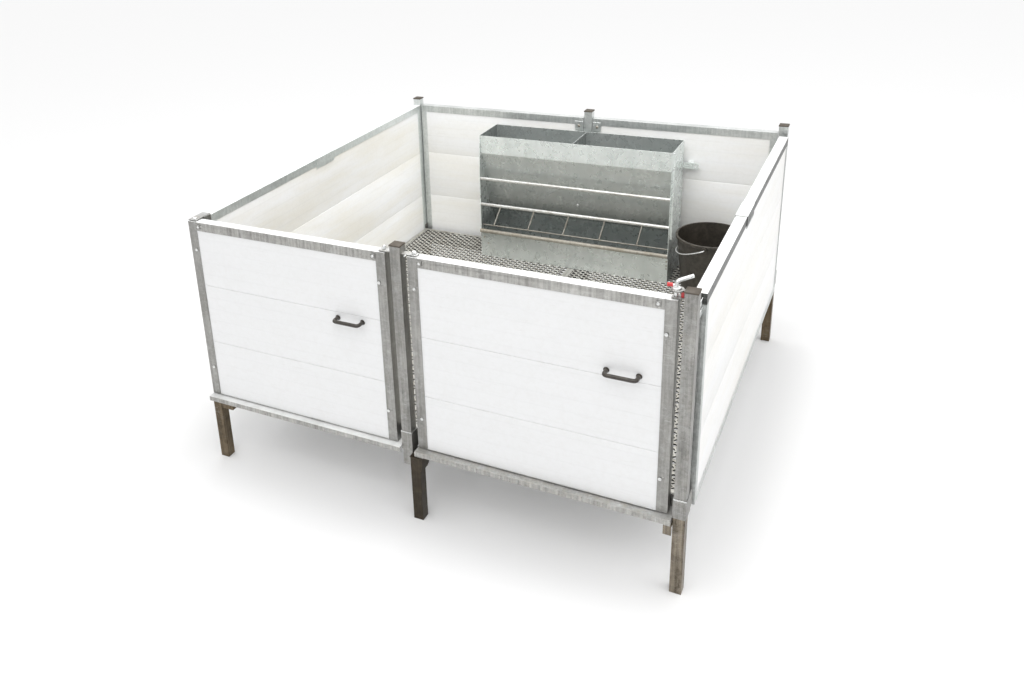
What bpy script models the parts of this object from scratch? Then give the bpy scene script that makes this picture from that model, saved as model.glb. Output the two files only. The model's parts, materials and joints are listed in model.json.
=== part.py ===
"""Pig weaning pen with two front gates, mesh floor, feeder and bucket."""
import math

import bmesh
import bpy
from mathutils import Matrix, Vector

# Clearances
SEAT = 0.0003
FIT = 0.0005
RUNNING = 0.0008

# Main sizes in metres
POST = 0.040
POST_WALL = 0.002
PEN_WIDTH = 1.960
PEN_DEPTH = 1.930
LEFT = -PEN_WIDTH / 2
RIGHT = PEN_WIDTH / 2
FRONT = -PEN_DEPTH / 2
BACK = PEN_DEPTH / 2
CENTRE_X0 = -0.066
BACK_CENTRE_X0 = 0.006
CAP_HEIGHT = 0.006
CAP_OVER = 0.002
CAP_PLUG = 0.018

# Gates
SHEET = 0.002
FRAME_DEEP = 0.040
GATE_SET_BACK = 0.008
GATE_FRONT = FRONT + GATE_SET_BACK
GATE_BACK = GATE_FRONT + FRAME_DEEP
GATE_BOTTOM = 0.308
GATE_TOP = 1.083
POST_ABOVE_GATES = 0.039
CAP_TOP = GATE_TOP + POST_ABOVE_GATES
POST_TOP = CAP_TOP - CAP_HEIGHT - SEAT
STILE = 0.038
RAIL = 0.036
REAR_LIP = 0.020
LOCK_GAP = 0.026
HINGE_GAP = 0.023
LATCH_GAP = 0.020
LEFT_GATE = (LEFT, CENTRE_X0 - LOCK_GAP)
RIGHT_GATE = (CENTRE_X0 + POST + HINGE_GAP, RIGHT - POST - LATCH_GAP)
AXIS_Y = GATE_FRONT + FRAME_DEEP / 2
HEEL = math.hypot(STILE, FRAME_DEEP) / 2
HEEL_GAP = 0.002
STILE_RIVET_LOW = 0.133
STILE_RIVET_DOWN = 0.129
RAIL_RIVET_IN = 0.022

# Planks, with the heights of the lower and the middle one
PLANK_THICK = FRAME_DEEP - 2 * SHEET - 2 * FIT
PLANK_DROP = 0.020
PLANK_AT_HINGE = 0.026
PLANK_AT_LOCK = 0.020
LEFT_PLANKS = (0.2475, 0.2535)
RIGHT_PLANKS = (0.2240, 0.2430)
WALL_PLANKS = (0.2475, 0.2535)
PLANK_WALL = 0.003
PLANK_EDGE = 0.0015
TONGUE = 0.004
TONGUE_HIGH = 0.006
CHAMBERS = 5

# Floor frame
FLOOR_TOP = 0.356
MESH_THICK = 0.0035
MESH_BORDER = 0.044
MESH_INSET = 0.003
BEAM_TOP = FLOOR_TOP - MESH_THICK - SEAT
BEAM_HIGH = 0.070
BEAM_BOTTOM = BEAM_TOP - BEAM_HIGH
BEAM_WIDE = 0.040
BEAM_WALL = 0.0025
BEAM_FACE = -(AXIS_Y + HEEL + HEEL_GAP)
SIDE_BEAM_GAP = 0.004
JOIST_X0 = 0.006
FLOOR_SPLIT = JOIST_X0 + BEAM_WIDE / 2
LUG_WIDE = 0.050
LUG_THICK = 0.006
SIDE_LUG_PITCH = 0.675
SPIGOT_HIGH = 0.030
POST_DROP = 0.057
POST_FOOT = BEAM_BOTTOM - POST_DROP

# Sleeves round the posts
SLEEVE = 0.002
SLEEVE_LOW = 0.3057
SLEEVE_TOP = 0.3775
CENTRE_SLEEVE_LOW = 0.291
CENTRE_SLEEVE_TOP = 0.3675
SLEEVE_GUSSET = 0.080
GUSSET_RISE = 0.014
CORNER_JOINT = SLEEVE_LOW + 0.010
SLEEVE_ROOM = FIT + SLEEVE + FIT

# Walls
WALL_TOP = GATE_TOP
WALL_BOTTOM = 0.3085
TOP_FLANGE = 0.034
SIDE_FLANGE = 0.030
LOW_FLANGE = 0.030
LEFT_WALL_X = LEFT + FRAME_DEEP / 2
RIGHT_WALL_STEP = 0.010
RIGHT_WALL_X = RIGHT + RIGHT_WALL_STEP - FRAME_DEEP / 2
RIGHT_WALL_GAP = 0.048
RIGHT_WALL_END_GAP = 0.049
BACK_WALL_STEP = 0.003
BACK_WALL_Y = BACK + BACK_WALL_STEP - FRAME_DEEP / 2
BACK_WALL_FACE = BACK_WALL_Y - FRAME_DEEP / 2
BACK_WALL_GAP = 0.005
CLAMP_WIDE = 0.043
CLAMP_HIGH = 0.045
CLAMP_DOWN = 0.064
CLAMP_THICK = 0.004
HOOK_DROPS = (0.034, 0.068)
HOOK_HIGH = 0.020
HOOK_THICK = 0.003
HOOK_IN = 0.012
SPLICE_LONG = 0.148
SPLICE_HIGH = 0.046
SPLICE_THICK = 0.002
LEFT_SPLICE_Y = -0.117
RIGHT_SPLICE_Y = -0.198

# Sills
SILL_GAP = 0.003
SILL_TOP = GATE_BOTTOM - SILL_GAP
SILL_THICK = 0.003
SILL_REACH = 0.020
SILL_OUT = FRONT - SILL_REACH
SILL_LIP = 0.020
SILL_BLOCK_DEEP = 0.040
SILL_LEFT_BLOCK = 0.036
SILL_RIGHT_BLOCK = 0.0216
SILL_BEFORE_HINGE = 0.0045

# Legs
FOOT_THICK = 0.004
BRACKET_SHEET = 0.003
BRACKET_HIGH = 0.035
BRACKET_WIDE = 0.0265
LEFT_BRACKET_WIDE = 0.058
BRACKET_DEEP = 0.045
CENTRE_BRACKET_HIGH = 0.055
CENTRE_BRACKET_X = 0.018
CENTRE_BRACKET_WIDE = 0.032
CENTRE_BRACKET_OUT = 0.005

# Pins and latch
PIN_RADIUS = 0.005
PIN_HOLE = PIN_RADIUS + RUNNING
HINGE_PIN_REACH = 0.019
LOCK_PIN_REACH = 0.024
LOCK_INSET = 0.0105
NOTCH_ROOM = 0.0015
BRIDGE_GAP = 0.003
BRIDGE_THICK = 0.003
BRIDGE_LOW = GATE_TOP + BRIDGE_GAP
BRIDGE_TOP = BRIDGE_LOW + BRIDGE_THICK
BRIDGE_FRONT = 0.016
BRIDGE_SIDE = 0.016
PIVOT_COLLAR = 0.012
PIVOT_REACH = 0.014
LATCH_RADIUS = 0.006
RING_UP = 0.020
RING_HIGH = 0.005
RING_LOW = BRIDGE_TOP + RING_UP
RING_TOP = RING_LOW + RING_HIGH
RING_OUTER = 0.020
RING_HOLE = 0.0125
RING_SHIFT = 0.004
COLLAR_RADIUS = 0.0135
COLLAR_HIGH = 0.0042
STUB_UP = 0.0118
ARM_UP = 0.0245
ARM_RUN = (0.040, 0.037, 0.0075)

# Handles
HANDLE_RADIUS = 0.006
HANDLE_OUT = 0.036
HANDLE_WIDE = 0.118
HANDLE_FACE = AXIS_Y - PLANK_THICK / 2 - SEAT
LEFT_HANDLE_IN = 0.1675
RIGHT_HANDLE_IN = 0.1615
LEFT_HANDLE_Z = 0.789
RIGHT_HANDLE_Z = 0.799

# Bucket
BUCKET_INSET = 0.268
BUCKET_X = RIGHT - BUCKET_INSET
BUCKET_FROM_BACK = 0.280
BUCKET_Y = BACK - BUCKET_FROM_BACK
BUCKET_HIGH = 0.280
BUCKET_RIM = 0.163
BUCKET_FOOT = 0.128
BUCKET_WALL = 0.0028
RIM_BAND = 0.007
EAR_DROP = 0.018
EAR_OUT = 0.007
BAIL_WIRE = 0.0025
BAIL_ROOM = 0.009
BAIL_RADIUS = BUCKET_RIM + BAIL_ROOM
BAIL_DROP = math.radians(24)

# Feeder
FEEDER_GAP = 0.0105
FEEDER_FLANGE = 0.010
FEEDER_WIDE = 0.989
FEEDER_X1 = BUCKET_X - BAIL_RADIUS - BAIL_WIRE - FEEDER_GAP - FEEDER_FLANGE
FEEDER_X0 = FEEDER_X1 - FEEDER_WIDE
FEEDER_STAND = 0.023
FEEDER_DEEP = 0.237
FEEDER_BACK = BACK_WALL_FACE - FEEDER_STAND
FEEDER_FRONT = FEEDER_BACK - FEEDER_DEEP
FEEDER_TOP = 1.018
FEEDER_FOOT = FLOOR_TOP + SEAT
FEEDER_SHEET = 0.0025
TROUGH_LIP = 0.506
LIP_ROLL = 0.009
BAND_LOW = 0.922
HOPPER_SET = 0.019
HOPPER_RUN = 0.120
HOPPER_FOOT = 0.580
DIVIDER_LOW = 0.650
GRILLE_IN = 0.010
UPPER_BAR = 0.786
LOWER_BAR = 0.644
BAR_RADIUS = 0.008
ROD_RADIUS = 0.005
ROD_FIRST = 0.075
ROD_PITCH = 0.189
ROD_COUNT = 5
ROD_BELOW = 0.082
FIXING_Z = 0.890
FIXING_HIGH = 0.030
FIXING_THICK = 0.004
FIXING_IN = 0.020
FIXING_TAB = 0.074

# Middle of the whole, which is the origin
SPLICE_OUT = FRAME_DEEP / 2 + SEAT + SPLICE_THICK
MIDDLE_X = (RIGHT_WALL_X + SPLICE_OUT + LEFT - FIT - SLEEVE) / 2
MIDDLE_Y = (HANDLE_FACE - HANDLE_OUT - HANDLE_RADIUS + BACK + BACK_WALL_STEP) / 2


def clear_scene():
    for item in list(bpy.data.objects):
        bpy.data.objects.remove(item, do_unlink=True)


def paint(item, name, colour, rough, metal):
    material = bpy.data.materials.new(name)
    material.use_nodes = True
    shader = material.node_tree.nodes["Principled BSDF"]
    shader.inputs["Base Color"].default_value = (*colour, 1.0)
    shader.inputs["Roughness"].default_value = rough
    shader.inputs["Metallic"].default_value = metal
    item.data.materials.clear()
    item.data.materials.append(material)


def zinc(item, name, tone=0.50):
    paint(item, name, (tone, tone, tone * 0.97), 0.45, 0.9)


def white_plastic(item, name, colour=(0.80, 0.80, 0.79)):
    paint(item, name, colour, 0.35, 0.0)


def dark_plastic(item, name):
    paint(item, name, (0.045, 0.034, 0.028), 0.5, 0.0)


def make(bm):
    bmesh.ops.recalc_face_normals(bm, faces=bm.faces[:])
    data = bpy.data.meshes.new("work")
    bm.to_mesh(data)
    bm.free()
    item = bpy.data.objects.new("work", data)
    bpy.context.scene.collection.objects.link(item)
    return item


def block(x0, x1, y0, y1, z0, z1):
    bm = bmesh.new()
    bmesh.ops.create_cube(bm, size=1.0)
    for vert in bm.verts:
        vert.co.x = x0 if vert.co.x < 0 else x1
        vert.co.y = y0 if vert.co.y < 0 else y1
        vert.co.z = z0 if vert.co.z < 0 else z1
    return make(bm)


def blocks(boxes):
    bm = bmesh.new()
    for x0, x1, y0, y1, z0, z1 in boxes:
        size = Matrix.Diagonal((x1 - x0, y1 - y0, z1 - z0, 1.0))
        middle = Vector(((x0 + x1) / 2, (y0 + y1) / 2, (z0 + z1) / 2))
        bmesh.ops.create_cube(bm, size=1.0, matrix=Matrix.Translation(middle) @ size)
    return make(bm)


def spot(axis, p, q, t):
    if axis == "x":
        return Vector((t, p, q))
    if axis == "y":
        return Vector((p, t, q))
    return Vector((p, q, t))


def prism(points, axis, start, end):
    bm = bmesh.new()
    ring = [bm.verts.new(spot(axis, p, q, start)) for p, q in points]
    face = bm.faces.new(ring)
    grown = bmesh.ops.extrude_face_region(bm, geom=[face])
    moved = [part for part in grown["geom"] if isinstance(part, bmesh.types.BMVert)]
    bmesh.ops.translate(bm, vec=spot(axis, 0, 0, end - start), verts=moved)
    return make(bm)


def prisms(outlines, axis, start, end):
    bm = bmesh.new()
    for points in outlines:
        ring = [bm.verts.new(spot(axis, p, q, start)) for p, q in points]
        face = bm.faces.new(ring)
        grown = bmesh.ops.extrude_face_region(bm, geom=[face])
        moved = [part for part in grown["geom"] if isinstance(part, bmesh.types.BMVert)]
        bmesh.ops.translate(bm, vec=spot(axis, 0, 0, end - start), verts=moved)
    return make(bm)


def round_outline(p, q, radius, sides):
    step = 2 * math.pi / sides
    return [(p + radius * math.cos(step * i), q + radius * math.sin(step * i)) for i in range(sides)]


def disc(axis, p, q, radius, start, end, sides=16):
    return prism(round_outline(p, q, radius, sides), axis, start, end)


def turned(profile, centre, sides):
    bm = bmesh.new()
    verts = [bm.verts.new((r, 0.0, z)) for r, z in profile]
    edges = [bm.edges.new(pair) for pair in zip(verts, verts[1:])]
    bmesh.ops.spin(bm, geom=verts + edges, cent=(0, 0, 0), axis=(0, 0, 1), angle=2 * math.pi, steps=sides)
    bmesh.ops.remove_doubles(bm, verts=bm.verts[:], dist=0.00005)
    bmesh.ops.translate(bm, vec=Vector(centre), verts=bm.verts[:])
    return make(bm)


def smooth(item, degrees=35):
    item.data.polygons.foreach_set("use_smooth", [True] * len(item.data.polygons))
    item.data.set_sharp_from_angle(angle=math.radians(degrees))
    return item


def rounded_path(corners, bend, steps):
    path = [Vector(corners[0])]
    for before, here, after in zip(corners, corners[1:], corners[2:]):
        here = Vector(here)
        back = (Vector(before) - here).normalized()
        ahead = (Vector(after) - here).normalized()
        half = back.angle(ahead) / 2
        run = bend / math.tan(half)
        first = here + back * run
        last = here + ahead * run
        middle = here + (back + ahead).normalized() * (bend / math.sin(half))
        for i in range(steps + 1):
            arm = (first - middle).lerp(last - middle, i / steps).normalized()
            path.append(middle + arm * bend)
    path.append(Vector(corners[-1]))
    return path


def rod(path, radius, sides=12):
    bm = bmesh.new()
    path = [Vector(point) for point in path]
    side = None
    rings = []
    for i, point in enumerate(path):
        before = path[max(i - 1, 0)]
        after = path[min(i + 1, len(path) - 1)]
        along = (after - before).normalized()
        if side is None:
            side = along.orthogonal().normalized()
        side = (side - along * side.dot(along)).normalized()
        up = along.cross(side)
        ring = []
        for k in range(sides):
            turn = 2 * math.pi * k / sides
            reach = side * math.cos(turn) + up * math.sin(turn)
            ring.append(bm.verts.new(point + reach * radius))
        rings.append(ring)
    for one, two in zip(rings, rings[1:]):
        for k in range(sides):
            n = (k + 1) % sides
            bm.faces.new((one[k], one[n], two[n], two[k]))
    bm.faces.new(rings[0])
    bm.faces.new(list(reversed(rings[-1])))
    return make(bm)


def combine(item, tool, mode):
    tool.hide_render = True
    tool.display_type = "WIRE"
    step = item.modifiers.new("combine", "BOOLEAN")
    step.solver = "EXACT"
    step.operation = mode
    step.object = tool
    view = bpy.context.evaluated_depsgraph_get()
    data = bpy.data.meshes.new_from_object(item.evaluated_get(view))
    old = item.data
    item.modifiers.clear()
    item.data = data
    bpy.data.meshes.remove(old)
    bpy.data.objects.remove(tool, do_unlink=True)
    return item


def fuse(item, *tools):
    for tool in tools:
        combine(item, tool, "UNION")
    return item


def cut(item, *tools):
    for tool in tools:
        combine(item, tool, "DIFFERENCE")
    return item


def settle(item, name, origin):
    item.name = name
    item.data.name = name
    item.data.transform(Matrix.Translation(-Vector(origin)))
    item.location = Vector(origin) - Vector((MIDDLE_X, MIDDLE_Y, 0.0))
    return item


def tube_upright(x0, y0, z0, z1, wall=POST_WALL):
    shell = block(x0, x0 + POST, y0, y0 + POST, z0, z1)
    inner = block(x0 + wall, x0 + POST - wall, y0 + wall, y0 + POST - wall, z0 - 0.01, z1 + 0.01)
    return cut(shell, inner)


# Floor frame

def beam_along_x(x0, x1, y0, y1):
    w = BEAM_WALL
    shell = block(x0, x1, y0, y1, BEAM_BOTTOM, BEAM_TOP)
    inner = block(x0 - 0.01, x1 + 0.01, y0 + w, y1 - w, BEAM_BOTTOM + w, BEAM_TOP - w)
    return cut(shell, inner)


def beam_along_y(x0, x1, y0, y1):
    w = BEAM_WALL
    shell = block(x0, x1, y0, y1, BEAM_BOTTOM, BEAM_TOP)
    inner = block(x0 + w, x1 - w, y0 - 0.01, y1 + 0.01, BEAM_BOTTOM + w, BEAM_TOP - w)
    return cut(shell, inner)


def sleeve(post_x0, side, z0, z1):
    """Folded strap round three sides of a post, rooted in the beam."""
    t = SLEEVE
    x0 = post_x0 - FIT
    x1 = post_x0 + POST + FIT
    root = BEAM_FACE - BEAM_WALL * 0.8
    inner = BACK + FIT
    outer = inner + t
    points = [(x0 - t, root), (x0 - t, outer), (x1 + t, outer)]
    points += [(x1 + t, root), (x1, root), (x1, inner), (x0, inner), (x0, root)]
    points = [(p, q * side) for p, q in points]
    return prism(points, "z", z0, z1)


def sleeve_gusset():
    """Side plate which carries the corner sleeve back beside the wall."""
    x0 = RIGHT + FIT
    front = -BACK - FIT - SLEEVE / 2
    rear = front + SLEEVE_GUSSET
    low = SLEEVE_LOW
    points = [(front, low), (rear, low + GUSSET_RISE), (rear, SLEEVE_TOP), (front, SLEEVE_TOP)]
    return prism(points, "x", x0, x0 + SLEEVE)


def front_beam():
    end = RIGHT - POST - FIT
    item = beam_along_x(LEFT, end, -BEAM_FACE, -BEAM_FACE + BEAM_WIDE)
    fuse(item, sleeve(CENTRE_X0, -1, CENTRE_SLEEVE_LOW, CENTRE_SLEEVE_TOP))
    fuse(item, sleeve(RIGHT - POST, -1, SLEEVE_LOW, SLEEVE_TOP))
    fuse(item, sleeve_gusset())
    inset = POST_WALL + 2 * FIT
    x0, x1 = LEFT + inset, LEFT + POST - inset
    y0, y1 = -BEAM_FACE + inset, -BEAM_FACE + min(POST, BEAM_WIDE) - inset
    fuse(item, block(x0, x1, y0, y1, BEAM_TOP - BEAM_WALL / 2, BEAM_TOP + SPIGOT_HIGH))
    settle(item, "floor_beam_front", (0.0, -BEAM_FACE, BEAM_TOP))
    zinc(item, "front_beam_zinc", 0.42)


def back_beam():
    """Beam with three post straps and the lugs under the back walls."""
    start = LEFT + POST + FIT
    item = beam_along_x(start, -start, BEAM_FACE - BEAM_WIDE, BEAM_FACE)
    for x0 in (LEFT, BACK_CENTRE_X0, RIGHT - POST):
        fuse(item, sleeve(x0, 1, SLEEVE_LOW, SLEEVE_TOP))
    low = WALL_BOTTOM - SEAT - LUG_THICK
    left0, left1 = LEFT + POST, BACK_CENTRE_X0
    right0, right1 = BACK_CENTRE_X0 + POST, RIGHT - POST
    for a, b in ((left0, left1), (right0, right1)):
        for share in (1, 3, 5):
            x = a + (b - a) * share / 6 - LUG_WIDE / 2
            root = BEAM_FACE - BEAM_WALL * 0.8
            fuse(item, block(x, x + LUG_WIDE, root, BACK_WALL_Y + 0.015, low, WALL_BOTTOM - SEAT))
    settle(item, "floor_beam_back", (0.0, BEAM_FACE, BEAM_TOP))
    zinc(item, "back_beam_zinc", 0.42)


def side_beam(name, side, wall_x):
    """Beam with three lugs which reach under a side wall."""
    outer = RIGHT - POST - SIDE_BEAM_GAP
    inner = outer - BEAM_WIDE
    x0, x1 = sorted((side * inner, side * outer))
    end = BEAM_FACE - BEAM_WIDE - SEAT
    item = beam_along_y(x0, x1, -end, end)
    low = WALL_BOTTOM - SEAT - LUG_THICK
    for step in (-1, 0, 1):
        y = step * SIDE_LUG_PITCH
        a, b = sorted((side * (outer - BEAM_WALL * 0.8), wall_x + side * 0.015))
        fuse(item, block(a, b, y - LUG_WIDE / 2, y + LUG_WIDE / 2, low, WALL_BOTTOM - SEAT))
    settle(item, name, (side * (inner + outer) / 2, 0.0, BEAM_TOP))
    zinc(item, name + "_zinc", 0.42)


def centre_joist():
    end = BEAM_FACE - BEAM_WIDE - SEAT
    item = beam_along_y(JOIST_X0, JOIST_X0 + BEAM_WIDE, -end, end)
    settle(item, "floor_centre_joist", (FLOOR_SPLIT, 0.0, BEAM_TOP))
    zinc(item, "joist_zinc", 0.42)


def mesh_panel(name, x0, x1, columns, rows):
    """Walk-on panel, a plain border round staggered diamond holes."""
    border = MESH_BORDER
    y1 = BEAM_FACE - MESH_INSET
    y0 = -y1
    z0 = FLOOR_TOP - MESH_THICK
    item = block(x0, x1, y0, y1, z0, FLOOR_TOP)
    pitch_x = (x1 - x0 - 2 * border) / columns
    pitch_y = (y1 - y0 - 2 * border) / rows
    wide = pitch_x * 0.80
    deep = pitch_y * 0.72
    outlines = []
    for j in range(rows):
        shift = 0.5 if j % 2 else 0.0
        for i in range(columns - (1 if j % 2 else 0)):
            cx = x0 + border + pitch_x * (i + 0.5 + shift)
            cy = y0 + border + pitch_y * (j + 0.5)
            outlines.append([(cx - wide / 2, cy), (cx, cy - deep / 2),
                             (cx + wide / 2, cy), (cx, cy + deep / 2)])
    cut(item, prisms(outlines, "z", z0 - 0.01, FLOOR_TOP + 0.01))
    settle(item, name, ((x0 + x1) / 2, 0.0, FLOOR_TOP))
    zinc(item, name + "_zinc", 0.38)


# Legs

def leg_tube(x0, y0, top):
    w = POST_WALL
    shell = block(x0, x0 + POST, y0, y0 + POST, 0.0, top)
    return cut(shell, block(x0 + w, x0 + POST - w, y0 + w, y0 + POST - w, FOOT_THICK, top + 0.01))


def bracket(x0, x1, web_x, side, out, high, face_x0):
    """Folded head bracket: a top under sill and beam, a front face and a chamfered side."""
    t = BRACKET_SHEET
    top = BEAM_BOTTOM - SEAT
    low = top - high
    inner = BEAM_FACE - BEAM_WIDE + SIDE_BEAM_GAP
    mid = top - t / 2
    item = block(x0, x1, *sorted((side * inner, side * out)), top - t, top)
    fuse(item, block(face_x0, x1, *sorted((side * (out - t), side * out)), low, mid))
    web = [(out - t / 2, mid), (out - t / 2, low), (out - BRACKET_DEEP, low), (inner + t, mid - t)]
    web.append((inner + t, mid))
    web = [(side * y, z) for y, z in web]
    fuse(item, prism(web, "x", web_x, web_x + t))
    return item


def corner_leg(name, side_x, side_y):
    x0 = LEFT if side_x < 0 else RIGHT - POST
    y0 = FRONT if side_y < 0 else BACK - POST
    front_left = side_x < 0 and side_y < 0
    front_right = side_x > 0 and side_y < 0
    top = SILL_TOP - SILL_THICK - SEAT if front_left else CORNER_JOINT - SEAT
    item = leg_tube(x0, y0, top)
    out = BACK - POST / 2
    if front_right:
        out = -SILL_OUT
    if front_left:
        out = BACK - POST_WALL
    wide = LEFT_BRACKET_WIDE if front_left else BRACKET_WIDE
    if side_x < 0:
        a, b = x0 + POST - POST_WALL / 2, x0 + POST + wide
        web_x = b - BRACKET_SHEET
    else:
        a, b = x0 - wide, x0 + POST_WALL / 2
        web_x = a
    fuse(item, bracket(a, b, web_x, side_y, out, BRACKET_HIGH, a))
    if front_left:
        hole = top - 0.034
        cut(item, block(x0 + 0.012, x0 + 0.026, FRONT - 0.01, FRONT + 0.01, hole, hole + 0.022))
    settle(item, name, (x0 + POST / 2, y0 + POST / 2, 0.0))
    zinc(item, name + "_zinc", 0.30)


def front_centre_leg():
    """Leg beside the centre post, its head under the sill and the beam."""
    x0 = CENTRE_X0 + POST + SEAT
    y0 = SILL_OUT
    top = BEAM_BOTTOM - SEAT
    item = leg_tube(x0, y0, top - BRACKET_SHEET / 2)
    face = x0 + CENTRE_BRACKET_X
    x1 = face + CENTRE_BRACKET_WIDE
    out = -SILL_OUT + CENTRE_BRACKET_OUT
    fuse(item, bracket(x0, x1, x1 - BRACKET_SHEET, -1, out, CENTRE_BRACKET_HIGH, face))
    edge = POST / 4
    cut(item, block(x0 + edge, x0 + POST - edge, y0 + edge, y0 + POST - edge, top - 0.02, top + 0.01))
    settle(item, "leg_front_centre", (x0 + POST / 2, y0 + POST / 2, 0.0))
    zinc(item, "leg_front_centre_zinc", 0.30)


def back_centre_leg():
    """Leg right under the back beam, with a flat head plate."""
    x0 = BACK_CENTRE_X0
    y0 = BEAM_FACE - POST
    top = BEAM_BOTTOM - SEAT
    t = BRACKET_SHEET
    item = leg_tube(x0, y0, top - t / 2)
    fuse(item, block(x0 - BRACKET_WIDE, x0 + POST + BRACKET_WIDE, y0, y0 + POST, top - t, top))
    edge = POST / 4
    cut(item, block(x0 + edge, x0 + POST - edge, y0 + edge, y0 + POST - edge, top - 0.02, top + 0.01))
    settle(item, "leg_back_centre", (x0 + POST / 2, y0 + POST / 2, 0.0))
    zinc(item, "leg_back_centre_zinc", 0.30)


# Posts and caps

def bridge(x0, x1, pin_x, y0, y1, hole):
    """Plate over a gate's end, with the hole which guides a pin."""
    item = block(x0, x1, y0, y1, BRIDGE_LOW, BRIDGE_TOP)
    return cut(item, disc("z", pin_x, AXIS_Y, hole, BRIDGE_LOW - 0.01, BRIDGE_TOP + 0.01))


def front_centre_post():
    item = tube_upright(CENTRE_X0, FRONT, POST_FOOT, POST_TOP)
    y0, y1 = AXIS_Y - BRIDGE_FRONT, FRONT + POST
    weld = POST_WALL / 2
    lock_x = LEFT_GATE[1] - LOCK_INSET
    left_plate = bridge(lock_x - BRIDGE_SIDE, CENTRE_X0 + weld, lock_x, y0, y1, PIN_HOLE)
    hinge_x = RIGHT_GATE[0] + STILE / 2
    right_plate = bridge(CENTRE_X0 + POST - weld, hinge_x + BRIDGE_SIDE, hinge_x, y0, y1, PIN_HOLE)
    fuse(item, left_plate, right_plate)
    settle(item, "front_centre_post", (CENTRE_X0 + POST / 2, FRONT + POST / 2, POST_FOOT))
    zinc(item, "front_centre_post_zinc", 0.45)


def front_right_post():
    """Post with the keeper plate and the ring which guide the latch rod."""
    x0 = RIGHT - POST
    weld = x0 + POST_WALL / 2
    item = tube_upright(x0, FRONT, CORNER_JOINT, POST_TOP)
    lock_x = RIGHT_GATE[1] - LOCK_INSET
    ring_x = lock_x + RING_SHIFT
    ring = disc("z", ring_x, AXIS_Y, RING_OUTER, RING_LOW, RING_TOP, 24)
    half = PIN_RADIUS
    tail_x = ring_x + (RING_OUTER + RING_HOLE) / 2
    fuse(ring, block(tail_x, weld, AXIS_Y - half, AXIS_Y + half, RING_LOW, RING_TOP))
    cut(ring, disc("z", ring_x, AXIS_Y, RING_HOLE, RING_LOW - 0.01, RING_TOP + 0.01, 24))
    reach = BRIDGE_SIDE * 0.75
    hole = LATCH_RADIUS + RUNNING
    keeper = bridge(lock_x - reach, weld, lock_x, AXIS_Y - reach, AXIS_Y + reach, hole)
    fuse(item, keeper, ring)
    settle(item, "front_right_post", (x0 + POST / 2, FRONT + POST / 2, CORNER_JOINT))
    zinc(item, "front_right_post_zinc", 0.42)


def front_left_post():
    """Low post behind the hinge stile, with the plate which holds the pin."""
    y0 = -BEAM_FACE
    item = tube_upright(LEFT, y0, BEAM_TOP + SEAT, BRIDGE_LOW + BRIDGE_THICK / 3)
    hinge_x = LEFT_GATE[0] + STILE / 2
    plate = bridge(LEFT, LEFT + POST - POST_WALL, hinge_x, AXIS_Y - BRIDGE_FRONT, y0 + POST, PIN_HOLE)
    fuse(item, plate)
    settle(item, "front_left_post", (LEFT + POST / 2, y0 + POST / 2, BEAM_TOP))
    zinc(item, "front_left_post_zinc", 0.42)


def back_post(name, x0, foot):
    item = tube_upright(x0, BACK - POST, foot, POST_TOP)
    settle(item, name, (x0 + POST / 2, BACK - POST / 2, foot))
    zinc(item, name + "_zinc", 0.42)


def cap(name, x0, y0):
    """Overhanging cap with a plug inside the post."""
    over = CAP_OVER
    low = POST_TOP + SEAT
    lid = block(x0 - over, x0 + POST + over, y0 - over, y0 + POST + over, low, CAP_TOP)
    bm = bmesh.new()
    bm.from_mesh(lid.data)
    top = [edge for edge in bm.edges if all(vert.co.z > CAP_TOP - 0.0001 for vert in edge.verts)]
    bmesh.ops.bevel(bm, geom=top, offset=CAP_HEIGHT / 2, offset_type="OFFSET",
                    segments=2, profile=0.5, affect="EDGES")
    bm.to_mesh(lid.data)
    bm.free()
    inset = POST_WALL + FIT
    plug = block(x0 + inset, x0 + POST - inset, y0 + inset, y0 + POST - inset,
                 low - CAP_PLUG, low + CAP_HEIGHT / 6)
    fuse(lid, plug)
    settle(lid, name, (x0 + POST / 2, y0 + POST / 2, low))
    dark_plastic(lid, name + "_plastic")


# Sill

def sill(name, x0, x1, flange_x0, hinge_x, ends):
    """Ledge with a front lip and a back flange, on solid blocks at its ends."""
    back = -BEAM_FACE - SEAT
    low = SILL_TOP - SILL_THICK
    inside = SILL_TOP - SILL_THICK / 3
    item = block(x0, x1, SILL_OUT, back, low, SILL_TOP)
    fuse(item, block(x0, x1, SILL_OUT, SILL_OUT + SILL_THICK, SILL_TOP - SILL_LIP, inside))
    fuse(item, block(flange_x0, x1, back - SILL_THICK, back, SILL_TOP - SILL_LIP, inside))
    for a, b in ends:
        fuse(item, block(a, b, SILL_OUT, SILL_OUT + SILL_BLOCK_DEEP, BEAM_BOTTOM, inside))
    cut(item, disc("z", hinge_x, AXIS_Y, PIN_HOLE, low - 0.01, SILL_TOP + 0.01))
    settle(item, name, ((x0 + x1) / 2, SILL_OUT, SILL_TOP))
    zinc(item, name + "_zinc", 0.62)


def sills():
    x1 = CENTRE_X0 - SLEEVE_ROOM
    sill("left_sill", LEFT, x1, LEFT + POST + 0.008, LEFT_GATE[0] + STILE / 2, [])
    x0 = RIGHT_GATE[0] - SILL_BEFORE_HINGE
    x1 = RIGHT - POST - SLEEVE_ROOM
    ends = [(x0, x0 + SILL_LEFT_BLOCK), (x1 - SILL_RIGHT_BLOCK, x1)]
    sill("right_sill", x0, x1, x0, RIGHT_GATE[0] + STILE / 2, ends)


# Gates

def rivet(x, z, face):
    """Domed head standing on a front face."""
    r = 0.0055
    profile = [(0.0, -0.0005), (r, -0.0005), (r * 0.92, 0.0010), (r * 0.55, 0.0021), (0.0, 0.0025)]
    item = turned(profile, (0, 0, 0), 10)
    item.data.transform(Matrix.Translation((x, face, z)) @ Matrix.Rotation(math.radians(90), 4, "X"))
    return item


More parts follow.
